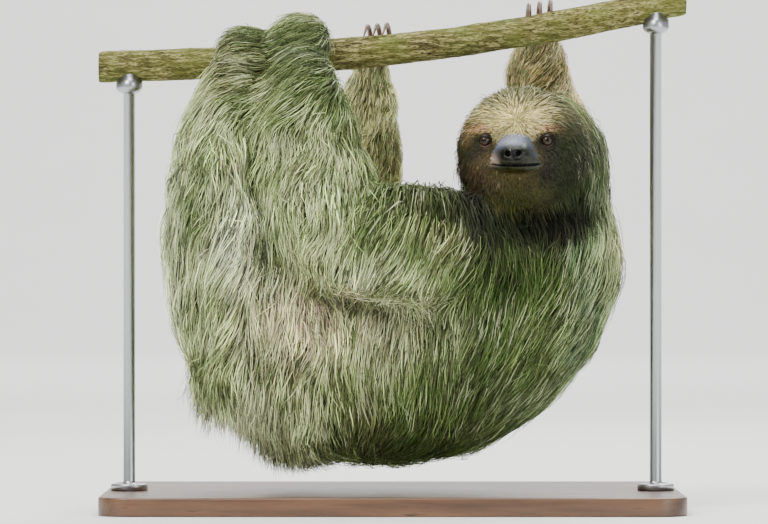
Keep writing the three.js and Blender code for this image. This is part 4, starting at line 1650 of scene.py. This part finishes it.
def lamp(name, at, aim, size, power, colour):
    """A round area lamp aimed at a place."""
    data = bpy.data.lights.new(name, "AREA")
    data.shape = "DISK"
    data.size = size
    data.energy = power
    data.color = colour
    light = bpy.data.objects.new(name, data)
    bpy.context.scene.collection.objects.link(light)
    light.location = at
    x, y, z = np.array(at) - np.array(aim)
    light.rotation_euler = (math.atan2(math.hypot(x, y), z), 0, math.atan2(x, -y))


def make_sweep(stage):
    """Builds the sheet of paper that is the floor and, past a bend, the backdrop."""
    made, nodes, shader = material("Studio paper", Roughness=0.9)
    paper, shaded = coloured(stage.paper), coloured([c * 0.97 for c in stage.paper])
    faint = nodes.mottled(paper, shaded, nodes.here(), 3, 0.5)
    nodes.feed(shader["Base Color"], faint["Colour"])
    start, top, back, bend, half = SWEEP
    profile = [(start, 0.0), (back - bend, 0.0)]
    for a in np.linspace(0, math.pi / 2, 24)[1:]:
        profile.append((back - bend + bend * math.sin(a), bend - bend * math.cos(a)))
    profile.append((back, top))
    points = [(x, y, z) for y, z in profile for x in (-half, half)]
    rows = np.arange(len(profile) - 1) * 2
    faces = [np.stack([rows, rows + 1, rows + 3, rows + 2], axis=1)]
    mesh_object("studio_sweep", points, faces, made)


def make_stage(stage):
    """Builds the paper sweep, the lamps, the light all round and the camera."""
    make_sweep(stage)
    for name, (at, aim, size, colour) in LAMPS.items():
        lamp(name, at, aim, size, getattr(stage, name), colour)
    world = bpy.data.worlds.new("Studio air")
    world.use_nodes = True
    background = world.node_tree.nodes["Background"].inputs
    background["Color"].default_value = (0.93, 0.96, 1.0, 1)
    background["Strength"].default_value = stage.air
    bpy.context.scene.world = world
    camera_data = bpy.data.cameras.new("camera")
    camera_data.sensor_width = 36
    camera_data.lens = stage.lens
    camera = bpy.data.objects.new("camera", camera_data)
    bpy.context.scene.collection.objects.link(camera)
    camera.location = stage.camera
    camera.rotation_euler = (math.pi / 2, 0, 0)
    bpy.context.scene.camera = camera


# ---------------------------------------------------------------- settings
def length_property(name, description, default):
    """A setting in metres."""
    return FloatProperty(
        name=name, description=description, default=default, min=0, unit="LENGTH", precision=4
    )


def colour_property(name, description, default):
    """A setting that is a colour."""
    return FloatVectorProperty(
        name=name,
        description=description,
        default=tuple(default),
        size=3,
        min=0,
        max=1,
        subtype="COLOR",
    )


def number_property(name, description, default):
    """A setting that is a plain number."""
    return FloatProperty(name=name, description=description, default=default, min=0)


class CoatSettings(bpy.types.PropertyGroup):
    """Length, depth, thickness and colours of the coat."""

    locks: IntProperty(
        name="Locks", description="Number of locks in the whole coat", default=120000, min=100
    )
    body_hair: length_property("Body hair", "Length on the trunk, thigh and upper arm", 0.037)
    limb_hair: length_property("Limb hair", "Length on the near shin and forearm", 0.029)
    inner_hair: length_property("Inner hair", "Length on the far limbs' inner side", 0.016)
    foot_hair: length_property("Foot hair", "Length on hands and feet", 0.017)
    head_hair: length_property("Head hair", "Length on the crown and sides of the head", 0.016)
    face_hair: length_property("Face hair", "Length on the face", 0.0048)
    lock_width: length_property("Lock width", "Width of a body lock", 0.001)
    depth_share: FloatProperty(
        name="Depth",
        description="Depth of the lying coat as a share of its hair's length",
        default=0.26,
        min=0,
        subtype="FACTOR",
    )
    tip_colour: colour_property("Pale tips", "Colour of bleached strands", linear(246, 250, 208))
    algae: colour_property("Algae", "Green that grows in the coat", linear(78, 108, 30))


class SkinSettings(bpy.types.PropertyGroup):
    """Colour of the bare skin."""

    blotch: colour_property("Blotches", "Darker blotches in the skin", linear(60, 54, 50))


class BranchSettings(bpy.types.PropertyGroup):
    """Relief and colours of the branch."""

    bark_relief: length_property("Bark relief", "Height of the bark's ridges", 0.0009)
    bark: colour_property("Bark", "Colour of the ridges", linear(116, 108, 56))
    bark_pale: colour_property("Pale bark", "Colour of weathered streaks", linear(168, 160, 104))
    groove: colour_property("Grooves", "Colour down in the cracks", linear(36, 30, 14))
    lichen: colour_property("Lichen", "Green film on the bark", linear(98, 112, 44))
    sawn: colour_property("Sawn wood", "Colour of the cut ends", linear(200, 178, 130))


class ClawSettings(bpy.types.PropertyGroup):
    """Colours of the claws."""

    root: colour_property("Root", "Horn at the root", linear(134, 100, 78))
    tip: colour_property("Tip", "Horn at the point", linear(66, 46, 36))
    worn: colour_property("Worn", "Scuffed patches", linear(176, 146, 118))


class EyeSettings(bpy.types.PropertyGroup):
    """Colours and pupil of the eyes."""

    iris: colour_property("Iris", "Light fibres of the iris", linear(66, 51, 38))
    iris_dark: colour_property("Iris ground", "Dark ground of the iris", linear(40, 27, 19))
    white: colour_property("Outer eye", "Ball outside the iris", linear(20, 14, 12))
    pupil: FloatProperty(
        name="Pupil",
        description="Half width of the pupil",
        default=math.radians(18),
        subtype="ANGLE",
    )


class StandSettings(bpy.types.PropertyGroup):
    """Colours of the display stand."""

    wood: colour_property("Wood", "Light figure of the base", linear(110, 76, 50))
    wood_dark: colour_property("Dark wood", "Dark figure and pores", linear(56, 36, 24))
    steel: colour_property("Steel", "Bright steel", linear(190, 192, 194))
    steel_dark: colour_property("Dull steel", "Steel in the brush lines", linear(150, 152, 156))


class StageSettings(bpy.types.PropertyGroup):
    """Camera, lamps and paper sweep."""

    camera: FloatVectorProperty(
        name="Camera",
        description="Place of the camera",
        default=(-0.00646, -4.02, 0.1877),
        size=3,
        subtype="TRANSLATION",
    )
    lens: number_property("Lens", "Focal length in millimetres", 246.7)
    key: number_property("Key", "Watts of the main lamp", 122)
    fill: number_property("Fill", "Watts of the soft lamp on the right", 48)
    rim: number_property("Rim", "Watts of the lamp behind", 50)
    top: number_property("Top", "Watts of the overhead lamp", 88)
    backdrop: number_property("Backdrop", "Watts of the lamp on the backdrop", 480)
    air: number_property("Air", "Strength of the light all round", 0.55)
    paper: colour_property("Paper", "Colour of floor and backdrop", (0.80, 0.81, 0.78))


# ---------------------------------------------------------------- operators
class SLOTH_OT_stage(bpy.types.Operator):
    """Sets up the paper sweep, the lamps and the camera"""

    bl_idname = "sloth.stage"
    bl_label = "Stage"

    def execute(self, context):
        make_stage(context.scene.sloth_stage)
        return {"FINISHED"}


class SLOTH_OT_branch(bpy.types.Operator):
    """Builds the cut branch with its cracked bark"""

    bl_idname = "sloth.branch"
    bl_label = "Branch"

    def execute(self, context):
        make_branch(context.scene.sloth_branch)
        return {"FINISHED"}


class SLOTH_OT_stand(bpy.types.Operator):
    """Builds the wooden base and the two steel rods"""

    bl_idname = "sloth.stand"
    bl_label = "Stand"

    def execute(self, context):
        make_base(context.scene.sloth_stand)
        make_rods(context.scene.sloth_stand)
        return {"FINISHED"}


class SLOTH_OT_claws(bpy.types.Operator):
    """Builds the twelve hooked claws"""

    bl_idname = "sloth.claws"
    bl_label = "Claws"

    def execute(self, context):
        make_claws(context.scene.sloth_claw)
        return {"FINISHED"}


class SLOTH_OT_eyes(bpy.types.Operator):
    """Builds the two eyeballs"""

    bl_idname = "sloth.eyes"
    bl_label = "Eyes"

    def execute(self, context):
        make_eyes(context.scene.sloth_eye)
        return {"FINISHED"}


class SLOTH_OT_skin(bpy.types.Operator):
    """Builds the one skin of head, trunk and limbs"""

    bl_idname = "sloth.skin"
    bl_label = "Skin"

    def execute(self, context):
        make_skin(context.scene.sloth_coat, context.scene.sloth_skin)
        return {"FINISHED"}


class SLOTH_OT_coat(bpy.types.Operator):
    """Grows the locks of the coat over the skin"""

    bl_idname = "sloth.coat"
    bl_label = "Coat"

    def execute(self, context):
        skin_piece = bpy.data.objects.get("skin")
        if skin_piece is None:
            raise RuntimeError("the coat needs the skin: build the skin first")
        make_coat(skin_piece, context.scene.sloth_coat)
        return {"FINISHED"}


class SLOTH_PT_panel(bpy.types.Panel):
    """Buttons and settings of the sloth"""

    bl_label = "Sloth"
    bl_space_type = "VIEW_3D"
    bl_region_type = "UI"
    bl_category = "Sloth"

    def draw(self, context):
        for step in STEPS:
            self.layout.operator(step.bl_idname)
        for name, group in SETTINGS.items():
            box = self.layout.box()
            for key in group.__annotations__:
                box.prop(getattr(context.scene, name), key)


SETTINGS = {
    "sloth_coat": CoatSettings,
    "sloth_skin": SkinSettings,
    "sloth_branch": BranchSettings,
    "sloth_claw": ClawSettings,
    "sloth_eye": EyeSettings,
    "sloth_stand": StandSettings,
    "sloth_stage": StageSettings,
}
STEPS = (
    SLOTH_OT_stage,
    SLOTH_OT_branch,
    SLOTH_OT_stand,
    SLOTH_OT_claws,
    SLOTH_OT_eyes,
    SLOTH_OT_skin,
    SLOTH_OT_coat,
)


def register():
    """Registers the settings, the steps and the panel."""
    for group in (*SETTINGS.values(), *STEPS, SLOTH_PT_panel):
        bpy.utils.register_class(group)
    for name, group in SETTINGS.items():
        setattr(bpy.types.Scene, name, PointerProperty(type=group))


def unregister():
    """Removes the panel, the steps and the settings."""
    for name in SETTINGS:
        delattr(bpy.types.Scene, name)
    for group in reversed((*SETTINGS.values(), *STEPS, SLOTH_PT_panel)):
        bpy.utils.unregister_class(group)


def main():
    """Builds the whole model."""
    register()
    bpy.ops.sloth.stage()
    bpy.ops.sloth.branch()
    bpy.ops.sloth.stand()
    bpy.ops.sloth.claws()
    bpy.ops.sloth.eyes()
    bpy.ops.sloth.skin()
    bpy.ops.sloth.coat()


if __name__ == "__main__":
    main()
